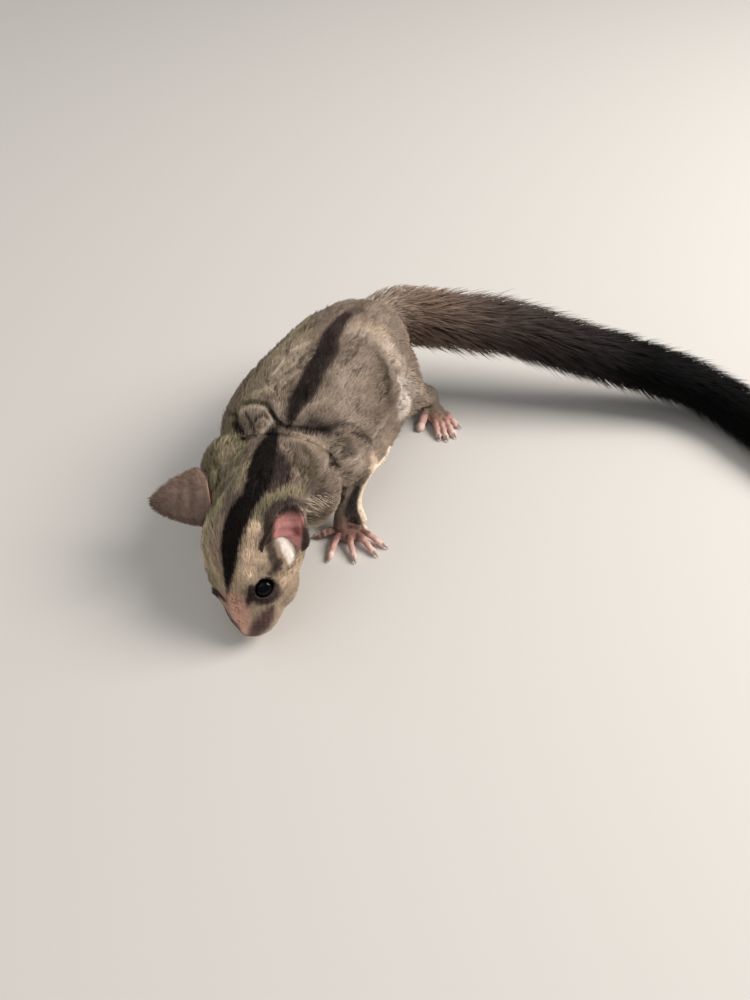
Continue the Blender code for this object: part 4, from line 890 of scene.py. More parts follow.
def wrinkles(points):
    """The loose skin's fine creases: 0 along each, 1 between them and on the head and legs."""
    drawn = points - (points @ BODY_WAY * 0.6)[:, None] * BODY_WAY
    bent = np.array([noise.noise(Vector(point) / (WRINKLE_SIZE * MM)) for point in drawn])
    broad = np.array([noise.noise(Vector(point) / (9 * MM) + UP * 7) for point in points])
    height = points[:, 2] / MM
    loose = smooth(head_local(points)[:, 0], 36.0, 48.0) * smooth(height, 14.0, 26.0)
    loose *= smooth(broad, -0.15, 0.25)
    distance, _ = tail_distance(points)
    loose *= 1 - smooth(distance, 2.0, 9.0)
    return 1 - loose * (1 - smooth(np.abs(bent), 0.0, WRINKLE_WIDTH))


class Markings:
    """The colour of the coat and skin at any point of the animal, with painted shade in its creases and
    painted highlights on its rolls.
    """

    def __init__(self, tree):
        self.folds = []
        # Painted shade and highlight: each crease darkens the colour and each roll lightens it.
        for height, half, line in FOLDS:
            rows = on_surface(tree, [(u, v, half * (0.55 if height < 0 else 0.8)) for u, v in line])
            shade = 1 + height * (0.32 if height < 0 else 0.22)
            self.folds.append((max(shade, 0.3), half * rows[0][1] / (half * 0.8), Lines(rows)))
        self.strokes = []
        self.add_marks(tree, BODY_MARKS, False)
        self.add_marks(tree, FACE_MARKS, True)
        self.add_rings()
        self.add_marks(tree, TOP_MARKS, False)
        self.add_fringe()

    def add_marks(self, tree, marks, mirrored):
        """Adds marks as the photo shows them, and on the other side of the face."""
        for colour, strength, soft, line in marks:
            rows = on_surface(tree, line)
            soft = soft * rows[0][1] / line[0][2]
            if mirrored:
                other = [(self.drop(tree, mirror_in_head(p)), r) for p, r in rows]
                self.strokes.append((COLOURS[colour], strength, soft, Lines(other)))
            self.strokes.append((COLOURS[colour], strength, soft, Lines(rows)))

    def add_fringe(self):
        """Adds the pale edges of the membranes, wide at the left wrist."""
        colour, strength, half, soft = FRINGE
        for line in lines_in_metres([MEMBRANE_EDGE_LEFT[:FRINGE_END], MEMBRANE_EDGE_RIGHT]):
            rows = [(point, half * MM) for point in line]
            self.strokes.append((COLOURS[colour], strength, soft * MM, Lines(rows)))

    def add_rings(self):
        """Adds the dark rings round the eyes."""
        colour, strength, fades = EYE_RING
        for side, (near, far) in fades.items():
            middle = np.array(in_metres(in_head(EYE_PLACE[0], EYE_PLACE[1] * side, EYE_PLACE[2])))
            rows = [(middle, (near + far) / 2 * MM), (middle + 1e-6, (near + far) / 2 * MM)]
            self.strokes.append((COLOURS[colour], strength, (far - near) * MM, Lines(rows)))

    @staticmethod
    def drop(tree, point):
        return np.array(tree.find_nearest(Vector(point))[0])

    def at(self, points, normals):
        """Colours for points with their skin normals."""
        points = np.asarray(points, float)
        colour = np.tile(np.array(COLOURS["grey"]), (len(points), 1))
        under = np.clip((-normals[:, 2] - 0.05) / 0.5, 0, 1)
        colour = mix(colour, COLOURS["belly"], under)
        face = np.clip((38 - head_local(points)[:, 0]) / 14, 0, 1)
        colour = mix(colour, COLOURS["tan"], 0.6 * face)
        for shade, strength, soft, lines in self.strokes:
            colour = mix(colour, shade, lines.nearness(points, soft) * strength)
        # Painted shade in the creases and painted highlights on the rolls.
        for shade, soft, lines in self.folds:
            colour *= 1 + (shade - 1) * lines.nearness(points, soft)[:, None]
        distance, reach = tail_distance(points)
        return mix(colour, tail_colour(distance), smooth(distance, 12, 30) * (reach < 1.6))


def tail_distance(points):
    """For each point: the distance along the tail's line, and how many coat radii away from it."""
    stops = np.linspace(0, TAIL.length, 160)
    line = (TAIL.place(stops) - np.array(FLOOR_CENTRE)) * MM
    made, reach = np.empty(len(points)), np.empty(len(points))
    for start in range(0, len(points), 20000):
        block = points[start : start + 20000]
        away = np.linalg.norm(block[:, None] - line[None], axis=2)
        nearest = away.argmin(axis=1)
        made[start : start + 20000] = stops[nearest]
        reach[start : start + 20000] = away.min(axis=1) / MM / TAIL.radius(stops[nearest])
    return made, reach


# Lines along which the coat lies: over the head in its own axes, then over the body and legs.
HEAD_LIES = [
    [(0, 0, 1), (10, 0, 6), (24, 0, 12), (40, 0, 13)],
    [(2, 4, 0), (12, 10, 0), (26, 16, 0), (42, 17, 0)],
    [(2, -4, 0), (12, -10, 0), (26, -16, 0), (42, -17, 0)],
    [(2, 0, -5), (14, 0, -10), (28, 0, -12), (42, 0, -12)],
]
BODY_LIES = [
    [(-36, 157.5, 42), (-31, 174.5, 45), (-24, 195, 53), (-10, 219, 54), (1.5, 238, 48), (7, 247, 40)],
    [(-22, 160, 28), (-10, 176, 24), (0, 195, 28), (10, 212, 28), (16, 224, 20)],
    [(-48, 160, 30), (-50, 176, 26), (-48, 196, 28), (-38, 214, 28), (-26, 236, 22)],
    [(-34, 160, 18), (-28, 180, 12), (-18, 205, 11), (-6, 228, 14)],
]
LIES = lines_in_metres(
    [[in_head(*point) for point in line] for line in HEAD_LIES]
    + BODY_LIES
    + [FORELEG_LEFT, FORELEG_RIGHT, HINDLEG_LEFT, HINDLEG_RIGHT, TAIL_PATH]
)

# Stretches of the coat: the axis that each is unwrapped about, its thickness, and the solids under it.
CHARTS = {
    "head": ([in_head(back, 0, 0) for back in (0, 20, 42)], 17.0, ["head"]),
    "trunk": (
        [(-34, 160, 31), (-30, 178, 30), (-22, 198, 32), (-10, 219, 33), (0, 236, 34), (9, 248, 36)],
        22.0,
        ["neck", "torso", "membrane_left", "membrane_right"],
    ),
    "foreleg_left": (FORELEG_LEFT, 6.0, ["foreleg_left"]),
    "foreleg_right": (FORELEG_RIGHT, 6.0, ["foreleg_right"]),
    "hindleg_left": (HINDLEG_LEFT, 8.0, ["hindleg_left"]),
    "hindleg_right": (HINDLEG_RIGHT, 8.0, ["hindleg_right"]),
}


# The coat


def directions_along(points):
    """The way the coat lies at each point, from the lines drawn over the animal."""
    total = np.zeros((len(points), 3))
    for line in LIES:
        for a, b in zip(line, line[1:]):
            away = np.linalg.norm(from_segment(points, a, b)[1], axis=1) / MM
            weight = 1 / (away**2 + 16) ** 2
            total += weight[:, None] * ((b - a) / np.linalg.norm(b - a))
    return total / np.linalg.norm(total, axis=1, keepdims=True)


def crease_depth(points, markings):
    """How far into a crease or a roll each point lies, from 0 to 1."""
    nearness = [lines.nearness(points, soft) for _, soft, lines in markings.folds]
    return np.max(nearness, axis=0)


def hair_length(points):
    """The length in millimetres of the short hair at each point: shortest on the muzzle and the paws."""
    length = np.full(len(points), BODY_HAIR)
    back = head_local(points)[:, 0]
    length = np.minimum(length, 0.55 + np.clip(back - 3, 0, 60) * 0.075)
    for _, limb, _, _ in PAWS.values():
        away = np.linalg.norm(points - np.array(in_metres(limb[-2][:3])), axis=1) / MM
        length = np.minimum(length, 0.6 + np.clip(away - 3, 0, 60) * 0.16)
    for line in (MEMBRANE_EDGE_LEFT[:6], MEMBRANE_EDGE_RIGHT[:5]):
        length = np.minimum(length, 0.7 + np.clip(line_distance(points, line) - 1.5, 0, 60) * 0.5)
    for side in (1, -1):
        mound = [in_head(back, left * side, up) for back, left, up in EAR_MOUND]
        length = np.minimum(length, 0.9 + np.clip(line_distance(points, mound) - 3.0, 0, 60) * 0.4)
    return length


def bareness(points):
    """How bare the skin is: 1 on the nose, palms and digits, 0 on the coat."""
    back, left, up = head_local(points).T
    bare = np.clip((2.6 - back) / 2.0, 0, 1) * (np.abs(left) < 8) * (np.abs(up) < 9)
    for plan, limb, heading, side in PAWS.values():
        ahead = ahead_of(points, limb, heading)
        bare = np.maximum(bare, smooth(ahead, plan["furred"], plan["furred"] + 2.5))
        for root, bone, _, radius, _ in digit_rows(plan, limb, heading, side):
            bare = np.maximum(bare, on_digit(points, root, bone, radius)[0])
    return bare


def on_digit(points, root, bone, radius):
    """How much each point belongs to a digit, and how far along the digit it lies."""
    line = [root + bone * part + UP * 1.4 for part in (0.0, 0.55, 1.0)]
    along = (in_layout(points) - np.array(root)) @ np.array(bone) / bone.length_squared
    near = smooth(-line_distance(points, line), -radius - 2.0, -radius - 1.1)
    return near * smooth(along, 0.05, 0.2), np.clip(along, 0, 1.1)


def ahead_of(points, limb, heading):
    """How far in millimetres each point lies ahead of a wrist, below zero for points away from the paw."""
    wrist = np.array(in_metres(limb[-2][:3]))
    forward = np.array([math.cos(math.radians(heading)), math.sin(math.radians(heading)), 0.0])
    local = (points - wrist) / MM
    close = (np.linalg.norm(local, axis=1) < PAW_REACH) & (points[:, 2] < limb[-3][2] * MM)
    return np.where(close, local @ forward, -PAW_REACH)


def paw_colours(points, colours):
    """The coat's colours, turned to the skin's own on the palms and digits."""
    made = colours.copy()
    for name, (plan, limb, heading, side) in PAWS.items():
        start = COLOURS["palm" if name.startswith("hand") else "foot"]
        share = smooth(ahead_of(points, limb, heading), plan["furred"] - 2.5, plan["furred"] + 2.0)
        edge = MEMBRANE_EDGE_LEFT[:4] if side > 0 else MEMBRANE_EDGE_RIGHT[:4]
        share *= smooth(line_distance(points, edge), 1.3, 2.2)
        made = mix(made, start, share)
        for root, bone, _, radius, _ in digit_rows(plan, limb, heading, side):
            near, reach = on_digit(points, root, bone, radius)
            flesh = mix(start, COLOURS["digit"], smooth(reach, 0.1, 0.42))
            flesh = mix(flesh, COLOURS["digit_tip"], smooth(reach, 0.6, 1.0))
            made = mix(made, flesh, near)
    return made


def roots_on(skin, count, wanted):
    """Random places on the skin, spread by area, with their normals."""
    mesh = skin.data
    mesh.calc_loop_triangles()
    corners = np.empty(len(mesh.loop_triangles) * 3, np.int32)
    mesh.loop_triangles.foreach_get("vertices", corners)
    corners = corners.reshape(-1, 3)
    points, normals = points_of(skin), normals_of(skin)
    a, b, c = (points[corners[:, k]] for k in range(3))
    area = np.linalg.norm(np.cross(b - a, c - a), axis=1) / 2
    weight = area * wanted((a + b + c) / 3)
    chosen = RNG.choice(len(corners), count, p=weight / weight.sum())
    first, second = RNG.random(count), RNG.random(count)
    turned = first + second > 1
    first[turned], second[turned] = 1 - first[turned], 1 - second[turned]
    shares = np.stack([1 - first - second, first, second], axis=1)
    place = sum(points[corners[chosen, k]] * shares[:, k : k + 1] for k in range(3))
    normal = sum(normals[corners[chosen, k]] * shares[:, k : k + 1] for k in range(3))
    return place, normal / np.linalg.norm(normal, axis=1, keepdims=True)


def strands(rows, widths, outward, colours, roots_uv):
    """Flat three-sided tufts. rows holds each tuft's line of points, and widths its width at each."""
    count, steps = rows.shape[:2]
    along = np.gradient(rows, axis=1)
    along /= np.linalg.norm(along, axis=2, keepdims=True)
    across = np.cross(along, outward[:, None])
    across /= np.linalg.norm(across, axis=2, keepdims=True) + 1e-12
    top = np.cross(across, along)
    corners = [(-0.5, -0.12), (0.5, -0.12), (0.0, 0.28)]
    wide, high, line = across[:, :-1], top[:, :-1], rows[:, :-1]
    body = [line + (wide * x + high * y) * widths[:, :-1, None] for x, y in corners]
    body = np.stack(body, axis=2).reshape(count, -1, 3)
    points = np.concatenate([body, rows[:, -1:]], axis=1)
    faces = [(0, 1, 2)]
    for i in range(steps - 2):
        for k in range(3):
            a, b = 3 * i + k, 3 * i + (k + 1) % 3
            faces += [(a, b + 3, b), (a, a + 3, b + 3)]
    last = 3 * (steps - 2)
    faces += [(last + (k + 1) % 3, last + k, last + 3) for k in range(3)]
    each = points.shape[1]
    faces = np.array(faces)[None] + (np.arange(count) * each)[:, None, None]
    level = np.concatenate([np.repeat(np.arange(steps - 1), 3), [steps - 1]]) / (steps - 1)
    tint = colours[:, None] * (ROOT_SHADE + (TIP_SHADE - ROOT_SHADE) * level**0.7)[None, :, None]
    side = np.concatenate([np.tile([0.0, 1.0, 0.5], steps - 1), [0.5]])
    patch = np.stack([side, level], axis=1) * PATCH
    uv = roots_uv[:, None] * (1 - PATCH) + patch[None]
    middle = (rows[:, :-1, None] + np.zeros((1, 1, 3, 1))).reshape(count, -1, 3)
    round_about = np.concatenate([points[:, :-1] - middle, top[:, -1:]], axis=1)
    round_about /= np.linalg.norm(round_about, axis=2, keepdims=True) + 1e-12
    normals = round_about * 0.45 + outward[:, None]
    normals /= np.linalg.norm(normals, axis=2, keepdims=True)
    points, faces, normals, tint = (rows.reshape(-1, 3) for rows in (points, faces, normals, tint))
    return points, faces, normals, tint, uv.reshape(-1, 2)


def mesh_from(name, points, faces, normals, colours, uv):
    """An object from arrays, with its colours, its own normals and its map for baking."""
    mesh = bpy.data.meshes.new(name)
    mesh.vertices.add(len(points))
    mesh.vertices.foreach_set("co", points.astype(np.float32).ravel())
    mesh.loops.add(faces.size)
    mesh.loops.foreach_set("vertex_index", faces.astype(np.int32).ravel())
    mesh.polygons.add(len(faces))
    mesh.polygons.foreach_set("loop_start", np.arange(0, faces.size, 3, dtype=np.int32))
    mesh.update(calc_edges=True)
    mesh.shade_smooth()
    paint(mesh, "coat", colours)
    layer = mesh.uv_layers.new(name="OFBake")
    layer.data.foreach_set("uv", uv[faces.ravel()].astype(np.float32).ravel())
    mesh.normals_split_custom_set_from_vertices(normals.astype(np.float32))
    return new_object(name, mesh)


def paint(mesh, name, colours):
    """Stores a colour at each vertex."""
    layer = mesh.color_attributes.new(name, "FLOAT_COLOR", "POINT")
    values = np.ones((len(colours), 4), np.float32)
    values[:, :3] = colours
    layer.data.foreach_set("color", values.ravel())


def unwrapped(points, axis):
    """Each point's place on an unwrap round an axis: its angle about it and its distance along it."""
    steps = np.linalg.norm(np.diff(axis, axis=0), axis=1)
    along = np.concatenate([[0.0], np.cumsum(steps)])
    best = np.full(len(points), np.inf)
    made = np.zeros((len(points), 2))
    for i, (a, b) in enumerate(zip(axis, axis[1:])):
        share, out = from_segment(points, a, b)
        away = np.linalg.norm(out, axis=1)
        along_way = (b - a) / np.linalg.norm(b - a)
        side = np.cross(along_way, [0.0, 0.0, 1.0])
        side /= np.linalg.norm(side)
        top = np.cross(side, along_way)
        angle = np.arctan2(out @ side, out @ top) / math.tau + 0.5
        closer = away < best
        made[closer, 0] = angle[closer]
        made[closer, 1] = ((along[i] + share * steps[i]) / along[-1])[closer]
        best[closer] = away[closer]
    return made, best


def clumped(roots, cell):
    """The middle of the small cell of the coat in which each root lies."""
    keys = np.floor(roots / (cell * MM)).astype(np.int64)
    _, group = np.unique(keys, axis=0, return_inverse=True)
    group = group.reshape(-1)
    count = np.bincount(group)[:, None]
    middle = np.stack([np.bincount(group, weights=roots[:, k]) for k in range(3)], axis=1) / count
    return middle[group]


def mottle(points):
    """Light and dark flecks of the coat, about four and ten millimetres across."""
    fine = np.array([noise.noise(Vector(point) / (4 * MM)) for point in points])
    broad = np.array([noise.noise(Vector(point) / (10 * MM)) for point in points])
    return (1 + fine * 0.3 + broad * 0.22).clip(0.6, 1.5)


def short_coat_share(points):
    """How closely the short tufts stand at each point: none on the bare skin, the eyes and the tail."""
    distance, reach = tail_distance(points)
    on_tail = (reach < 1.3) & (distance > 12)
    kept = 1 - np.clip((distance - 24) / 20, 0, 1) * on_tail
    kept *= 1 - bareness(points)
    kept *= np.where(head_local(points)[:, 0] < 40, HEAD_TUFTS_SHARE, 1.0)
    for middle in eye_middles():
        kept *= np.linalg.norm(points - middle, axis=1) > (EYE_RADIUS + 0.7) * MM
    return kept * (points[:, 2] > 1.4 * MM)


def stretched(chart):
    """A chart whose second coordinate is stretched to run from 0 to 1."""
    chart = chart.copy()
    low, high = chart[:, 1].min(), chart[:, 1].max()
    chart[:, 1] = (chart[:, 1] - low) / max(high - low, 1e-9)
    return chart


def short_coat(skin, markings):
    """The short hair of the head, body and legs, in pieces that each hold a stretch of the body."""
    count = BODY_TUFTS // 1
    roots, normals = roots_on(skin, count, short_coat_share)
    creased = crease_depth(roots, markings)
    length = hair_length(roots) * RNG.uniform(0.7, 1.2, count) * (1 - 0.6 * creased)
    lie = directions_along(roots) + RNG.normal(0, SCATTER, (count, 3))
    lie -= normals * np.sum(lie * normals, axis=1, keepdims=True)
    lie /= np.linalg.norm(lie, axis=1, keepdims=True) + 1e-12
    lift = (RNG.uniform(*LIFT, count) * (1 - 0.6 * creased))[:, None]
    size = length[:, None] * MM
    pull = (clumped(roots, CLUMP_SIZE) - roots) * CLUMP_PULL
    middle = roots + lie * size * 0.5 + normals * size * lift * 0.75 + pull * 0.35
    tip = roots + lie * size * 0.97 + normals * size * lift * 0.9 + pull
    rows = np.stack([roots - normals * 0.3 * MM, middle, tip], axis=1)
    rows[:, :, 2] = np.maximum(rows[:, :, 2], 0.4 * MM)
    width = (0.11 + 0.052 * np.minimum(length, 3.2)) * MM * 1.0
    widths = np.stack([width, width * 0.85, width * 0], axis=1)
    shown = roots + lie * size * 0.6
    colours = markings.at(shown, normals) * RNG.normal(1.0, 0.15, (count, 1)).clip(0.5, 1.6)
    # Painted shade along the fine creases of the loose skin.
    colours *= (mottle(roots) * (WRINKLE_SHADE + (1 - WRINKLE_SHADE) * wrinkles(shown)))[:, None]
    return coat_pieces(roots, rows, widths, normals, colours)


def coat_pieces(roots, rows, widths, normals, colours):
    """Tufts as pieces that each hold a stretch of the coat, with the solids under each."""
    pieces = []
    charts = [unwrapped(roots, lines_in_metres([axis])[0]) for axis, _, _ in CHARTS.values()]
    reaches = [reach for _, reach, _ in CHARTS.values()]
    nearest = np.argmin(np.stack([away / reach for (_, away), reach in zip(charts, reaches)]), axis=0)
    for number, (name, (_, _, nodes)) in enumerate(CHARTS.items()):
        chart = charts[number][0]
        inside = np.flatnonzero(nearest == number)
        inside = inside[np.argsort(chart[inside, 1])]
        parts = max(1, math.ceil(len(inside) / TUFTS_A_PIECE))
        for part, chosen in enumerate(np.array_split(inside, parts)):
            uv = stretched(chart[chosen])
            arrays = strands(rows[chosen], widths[chosen], normals[chosen], colours[chosen], uv)
            pieces.append((mesh_from(f"coat_{name}_{part + 1}", *arrays), nodes))
    return pieces


def tail_coat():
    """The long hair of the tail, in stretches of its length."""
    count = TAIL_TUFTS // 1
    distance = TAIL_COAT_START + (TAIL.length - 1.5 - TAIL_COAT_START) * RNG.random(count) ** 0.92
    angle = RNG.uniform(0, math.tau, count)
    place, along = TAIL.place(distance), TAIL.direction(distance)
    side = np.cross(along, [0.0, 0.0, 1.0])
    side /= np.linalg.norm(side, axis=1, keepdims=True)
    top = np.cross(side, along)
    out = side * np.cos(angle)[:, None] + top * np.sin(angle)[:, None]
    core, full = TAIL.core(distance), TAIL.radius(distance)
    length = np.clip((full - core) / math.sin(math.radians(TAIL_SPREAD)), *TAIL_HAIR)
    length *= RNG.uniform(0.72, 1.12, count)
    clump = np.round(angle / 0.42) * 0.42 - angle
    out_tip = side * np.cos(angle + clump * 0.6)[:, None] + top * np.sin(angle + clump * 0.6)[:, None]
    loose = RNG.normal(0, 0.07, (count, 3))
    rows = []
    for share, forward, rise in TAIL_HAIR_LINE:
        way = out * (1 - share) + out_tip * share
        grown = (along * forward + way * rise + loose * share) * length[:, None]
        point = place + out * (core - 0.3)[:, None] + grown
        point[:, 2] -= share**2 * 0.05 * length
        rows.append(point)
    rows = (np.stack(rows, axis=1) - np.array(FLOOR_CENTRE)) * MM
    low = RNG.uniform(0.3, 0.9, count)[:, None] * MM
    rows[:, :, 2] = np.maximum(rows[:, :, 2], low)
    width = RNG.uniform(0.3, 0.46, count) * MM * 1.0
    widths = width[:, None] * np.array([1.0, 0.9, 0.62, 0.0])
    colours = tail_colour(distance) * RNG.normal(1.0, 0.22, (count, 1)).clip(0.4, 1.8)
    uv = np.stack([angle / math.tau, distance / TAIL.length], axis=1)
    pieces = []
    order = np.argsort(distance)
    for part, chosen in enumerate(np.array_split(order, TAIL_PIECES)):
        chart = stretched(uv[chosen])
        arrays = strands(rows[chosen], widths[chosen], out[chosen], colours[chosen], chart)
        pieces.append(mesh_from(f"coat_tail_{part + 1}", *arrays))
    return pieces


def tail_colour(distance):
    """The tail's colour by the distance along it: warm brown at its root, darkening to black."""
    names, stops = zip(*TAIL_SHADES)
    shades = np.array([COLOURS[name] for name in names])
    return np.stack([np.interp(distance, stops, shades[:, k]) for k in range(3)], axis=1)


# The ears, paws and eyes


def ear_colours(points, normals, plan):
    """Pink in the middle of the cup, dark and furred towards the rim, brown at its back."""
    root, along, front, across = (np.array(way) for way in ear_axes(plan))
    length, half_width = plan[3:5]
    local = in_layout(points) - root
    height = local @ along / length
    inside = smooth(normals @ front, -0.15, 0.15)
    side = local @ across / half_width
    edge = np.where(side > 0, side * 1.4, -side)
    rim = smooth(np.maximum(edge, height * 0.95), 0.55, 0.78)
    pit = 1 - smooth(np.hypot((side - 0.3) / 0.3, (height - 0.3) / 0.22), 0.3, 1.0)
    inner = mix(COLOURS["ear_pink"], COLOURS["ear_pit"], pit * 0.8)
    inner = mix(inner, COLOURS["ear_rim"], rim)
    outer = mix(COLOURS["ear_back"], COLOURS["ear_rim"], smooth(height, 0.6, 1.1) * 0.6)
    return mix(outer, inner, inside)


def make_ears():
    """Both ears, painted, each with its short coat."""
    made = []
    for name, plan in (("ear_left", EAR_LEFT), ("ear_right", EAR_RIGHT)):
        ear = make_ear(plan)
        paint(ear.data, "coat", ear_colours(points_of(ear), normals_of(ear), plan))
        ear.name = f"{name}_cup"
        ear.data.shade_smooth()
        made.append((ear, ear_coat(f"coat_{name}", ear, plan), name))
    return made


def ear_coat(name, ear, plan):
    """The short hair on the back of an ear and round its rim."""
    root, along, front, across = (np.array(way) for way in ear_axes(plan))
    length, half_width = plan[3:5]

    def wanted(points):
        local = in_layout(points) - root
        edge = np.maximum(np.abs(local @ across) / half_width, local @ along / length)
        return 0.12 + smooth(edge, 0.45, 0.8)

    count = EAR_TUFTS // 1
    roots, normals = roots_on(ear, count, wanted)
    local = in_layout(roots) - root
    lie = along * 0.9 + across * (local @ across / half_width)[:, None] * 0.8
    lie = lie + RNG.normal(0, 0.2, (count, 3))
    lie -= normals * np.sum(lie * normals, axis=1, keepdims=True) * 0.6
    lie /= np.linalg.norm(lie, axis=1, keepdims=True)
    outer = (normals @ front < 0)[:, None]
    size = RNG.uniform(0.8, 1.5, (count, 1)) * MM * np.where(outer, 1.0, 0.7)
    middle = roots + lie * size * 0.5 + normals * size * 0.2
    tip = roots + lie * size + normals * size * 0.3
    rows = np.stack([roots - normals * 0.1 * MM, middle, tip], axis=1)
    width = np.full(count, 0.17 * MM * (1.0))
    widths = np.stack([width, width * 0.8, width * 0], axis=1)
    colours = ear_colours(roots, normals, plan) * RNG.normal(1.15, 0.2, (count, 1)).clip(0.6, 1.9)
    side, height = local @ across / (2 * half_width) + 0.5, (local @ along / length + 0.1) / 1.1
    uv = np.stack([side, height], axis=1).clip(0, 1)
    return mesh_from(name, *strands(rows, widths, normals, colours, uv))


def long_hairs(skin):
    """Pale hairs of the throat that stand off the coat, towards the wrist."""
    tree = tree_of(skin)
    eye = in_metres(CAMERA_PLACE)
    shares = np.linspace(0, 1, 6)
    rows, ways = [], []
    for first, last in LONG_HAIRS:
        for _ in range(LONG_HAIR_EACH):
            start = np.array(first) + RNG.normal(0, 1.6, 2)
            end = start + (np.array(last) - first) * RNG.uniform(0.5, 1.05) + RNG.normal(0, 1.2, 2)
            bow = (end - start)[::-1] * (1, -1) * RNG.normal(0.04, 0.05)
            pixels = [start + (end - start) * share + bow * math.sin(share * math.pi) for share in shares]
            sights = [photo_ray(*pixel) for pixel in pixels]
            reach = [tree.ray_cast(eye, sight)[3] for sight in sights]
            if None in reach:
                continue
            straight = reach[0] + (min(reach[-1], reach[0] + 0.012) - reach[0]) * shares
            lift = RNG.uniform(1.0, 1.9) * np.sin((0.12 + 0.8 * shares) * math.pi) * MM
            nearer = np.minimum(reach, straight) - lift
            rows.append([np.array(eye + sight * distance) for sight, distance in zip(sights, nearer)])
            ways.append(-np.array(sights[0]))
    count = len(rows)
    widths = RNG.uniform(0.11, 0.19, (count, 1)) * MM * np.array([[1.0, 1.0, 0.9, 0.75, 0.5, 0.0]])
    colours = np.array(COLOURS["ivory"]) * RNG.uniform(0.2, 0.85, (count, 1))
    arrays = strands(np.array(rows), widths, np.array(ways), colours, RNG.random((count, 2)))
    return mesh_from("coat_long", *arrays)


def make_eyes():
    """The dark glossy eyes, deep in the head."""
    made = []
    for side, name in ((1, "eye_left"), (-1, "eye_right")):
        place = (EYE_PLACE[0], EYE_PLACE[1] * side, EYE_PLACE[2])
        eye = ellipsoid(f"{name}_ball", in_head(*place), [EYE_RADIUS - 0.1] * 3, segments=96)
        eye.data.shade_smooth()
        made.append((eye, name))
    return made


def make_lids():
    """The dark wet rims of the lids, round the opening of each eye."""
    made = []
    for side in (1, -1):
        facing, slant = (head_direction(x, y * side, z) for x, y, z in (EYE_FACING, EYE_SLANT))
        slant = (slant - facing * slant.dot(facing)).normalized()
        upward = facing.cross(slant)
        middle = in_head(EYE_PLACE[0], EYE_PLACE[1] * side, EYE_PLACE[2])
        rows = []
        for turn in np.linspace(0, math.tau * 1.03, 49):
            wide = LID_OPENING[0] / EYE_RADIUS * math.cos(turn)
            high = LID_OPENING[1] / EYE_RADIUS * math.sin(turn)
            way = slant * wide + upward * high + facing * math.sqrt(max(1 - wide**2 - high**2, 0.0))
            rows.append((*(middle + way * (EYE_RADIUS + 0.1)), LID_RIM))
        lid = tube(f"lid_{'left' if side > 0 else 'right'}", rows, 2, 12)
        lid.data.shade_smooth()
        made.append(lid)
    return made


# The materials


class Shader:
    """A Principled material whose nodes are added one at a time."""

    def __init__(self, name, roughness, **values):
        self.material = bpy.data.materials.new(name)
        self.material.use_nodes = True
        self.nodes, self.links = self.material.node_tree.nodes, self.material.node_tree.links
        self.principled = self.nodes["Principled BSDF"]
        self.principled.inputs["Roughness"].default_value = roughness
        for key, value in values.items():
            self.principled.inputs[key.replace("_", " ")].default_value = value

    def add(self, kind, inputs=None, **settings):
        """Adds a node, with a value or a link for each of its inputs."""
        node = self.nodes.new(kind)
        for key, value in settings.items():
            setattr(node, key, value)
        for key, value in (inputs or {}).items():
            if isinstance(value, bpy.types.NodeSocket):
                self.links.new(value, node.inputs[key])
            else:
                node.inputs[key].default_value = value
        return node

    def link(self, socket, name):
        self.links.new(socket, self.principled.inputs[name])

    def noise(self, scale, detail=3.0, roughness=0.5):
        place = self.add("ShaderNodeTexCoord").outputs["Object"]
        inputs = {"Vector": place, "Scale": scale, "Detail": detail, "Roughness": roughness}
        return self.add("ShaderNodeTexNoise", inputs).outputs["Fac"]

    def varied(self, colour, fac, low, high):
        """The colour times a value that runs from low to high with fac."""
        limits = {"Value": fac, "From Min": 0.3, "From Max": 0.7, "To Min": low, "To Max": high}
        scaling = {0: colour, "Scale": self.add("ShaderNodeMapRange", limits).outputs["Result"]}
        return self.add("ShaderNodeVectorMath", scaling, operation="SCALE").outputs["Vector"]

    def bump(self, height, strength, distance):
        inputs = {"Height": height, "Strength": strength, "Distance": distance * MM}
        node = self.add("ShaderNodeBump", inputs)
        self.link(node.outputs["Normal"], "Normal")


def painted(shader):
    """The colour stored at the vertices."""
    return shader.add("ShaderNodeAttribute", attribute_name="coat").outputs["Color"]


def skin_material():
    shader = Shader("skin", 0.62, Specular_IOR_Level=0.32)
    fine = shader.noise(900.0, 4.0, 0.6)
    broad = shader.noise(120.0, 3.0)
    colour = shader.varied(painted(shader), broad, 0.88, 1.1)
    shader.link(shader.varied(colour, fine, 0.86, 1.12), "Base Color")
    shader.bump(fine, 0.5, 0.25)
    return shader.material


def coat_material(name, gloss):
    shader = Shader(name, 0.68, Specular_IOR_Level=gloss, Sheen_Weight=0.03, Sheen_Roughness=0.5)
    mottle = shader.noise(260.0, 3.0, 0.6)
    shader.link(shader.varied(painted(shader), mottle, 0.84, 1.16), "Base Color")
    return shader.material


def ear_material():
    shader = Shader("ear", 0.5, Specular_IOR_Level=0.35, Subsurface_Weight=0.12, Subsurface_Scale=0.002)
    shader.principled.inputs["Subsurface Radius"].default_value = (1.0, 0.35, 0.2)
    veins = shader.noise(420.0, 4.0, 0.6)
    shader.link(shader.varied(painted(shader), veins, 0.82, 1.15), "Base Color")
    shader.bump(veins, 0.35, 0.2)
    return shader.material


def plain_material(name, roughness, colour, **values):
    """A material of one colour."""
    shader = Shader(name, roughness, **values)
    shader.principled.inputs["Base Color"].default_value = (*colour, 1)
    return shader.material


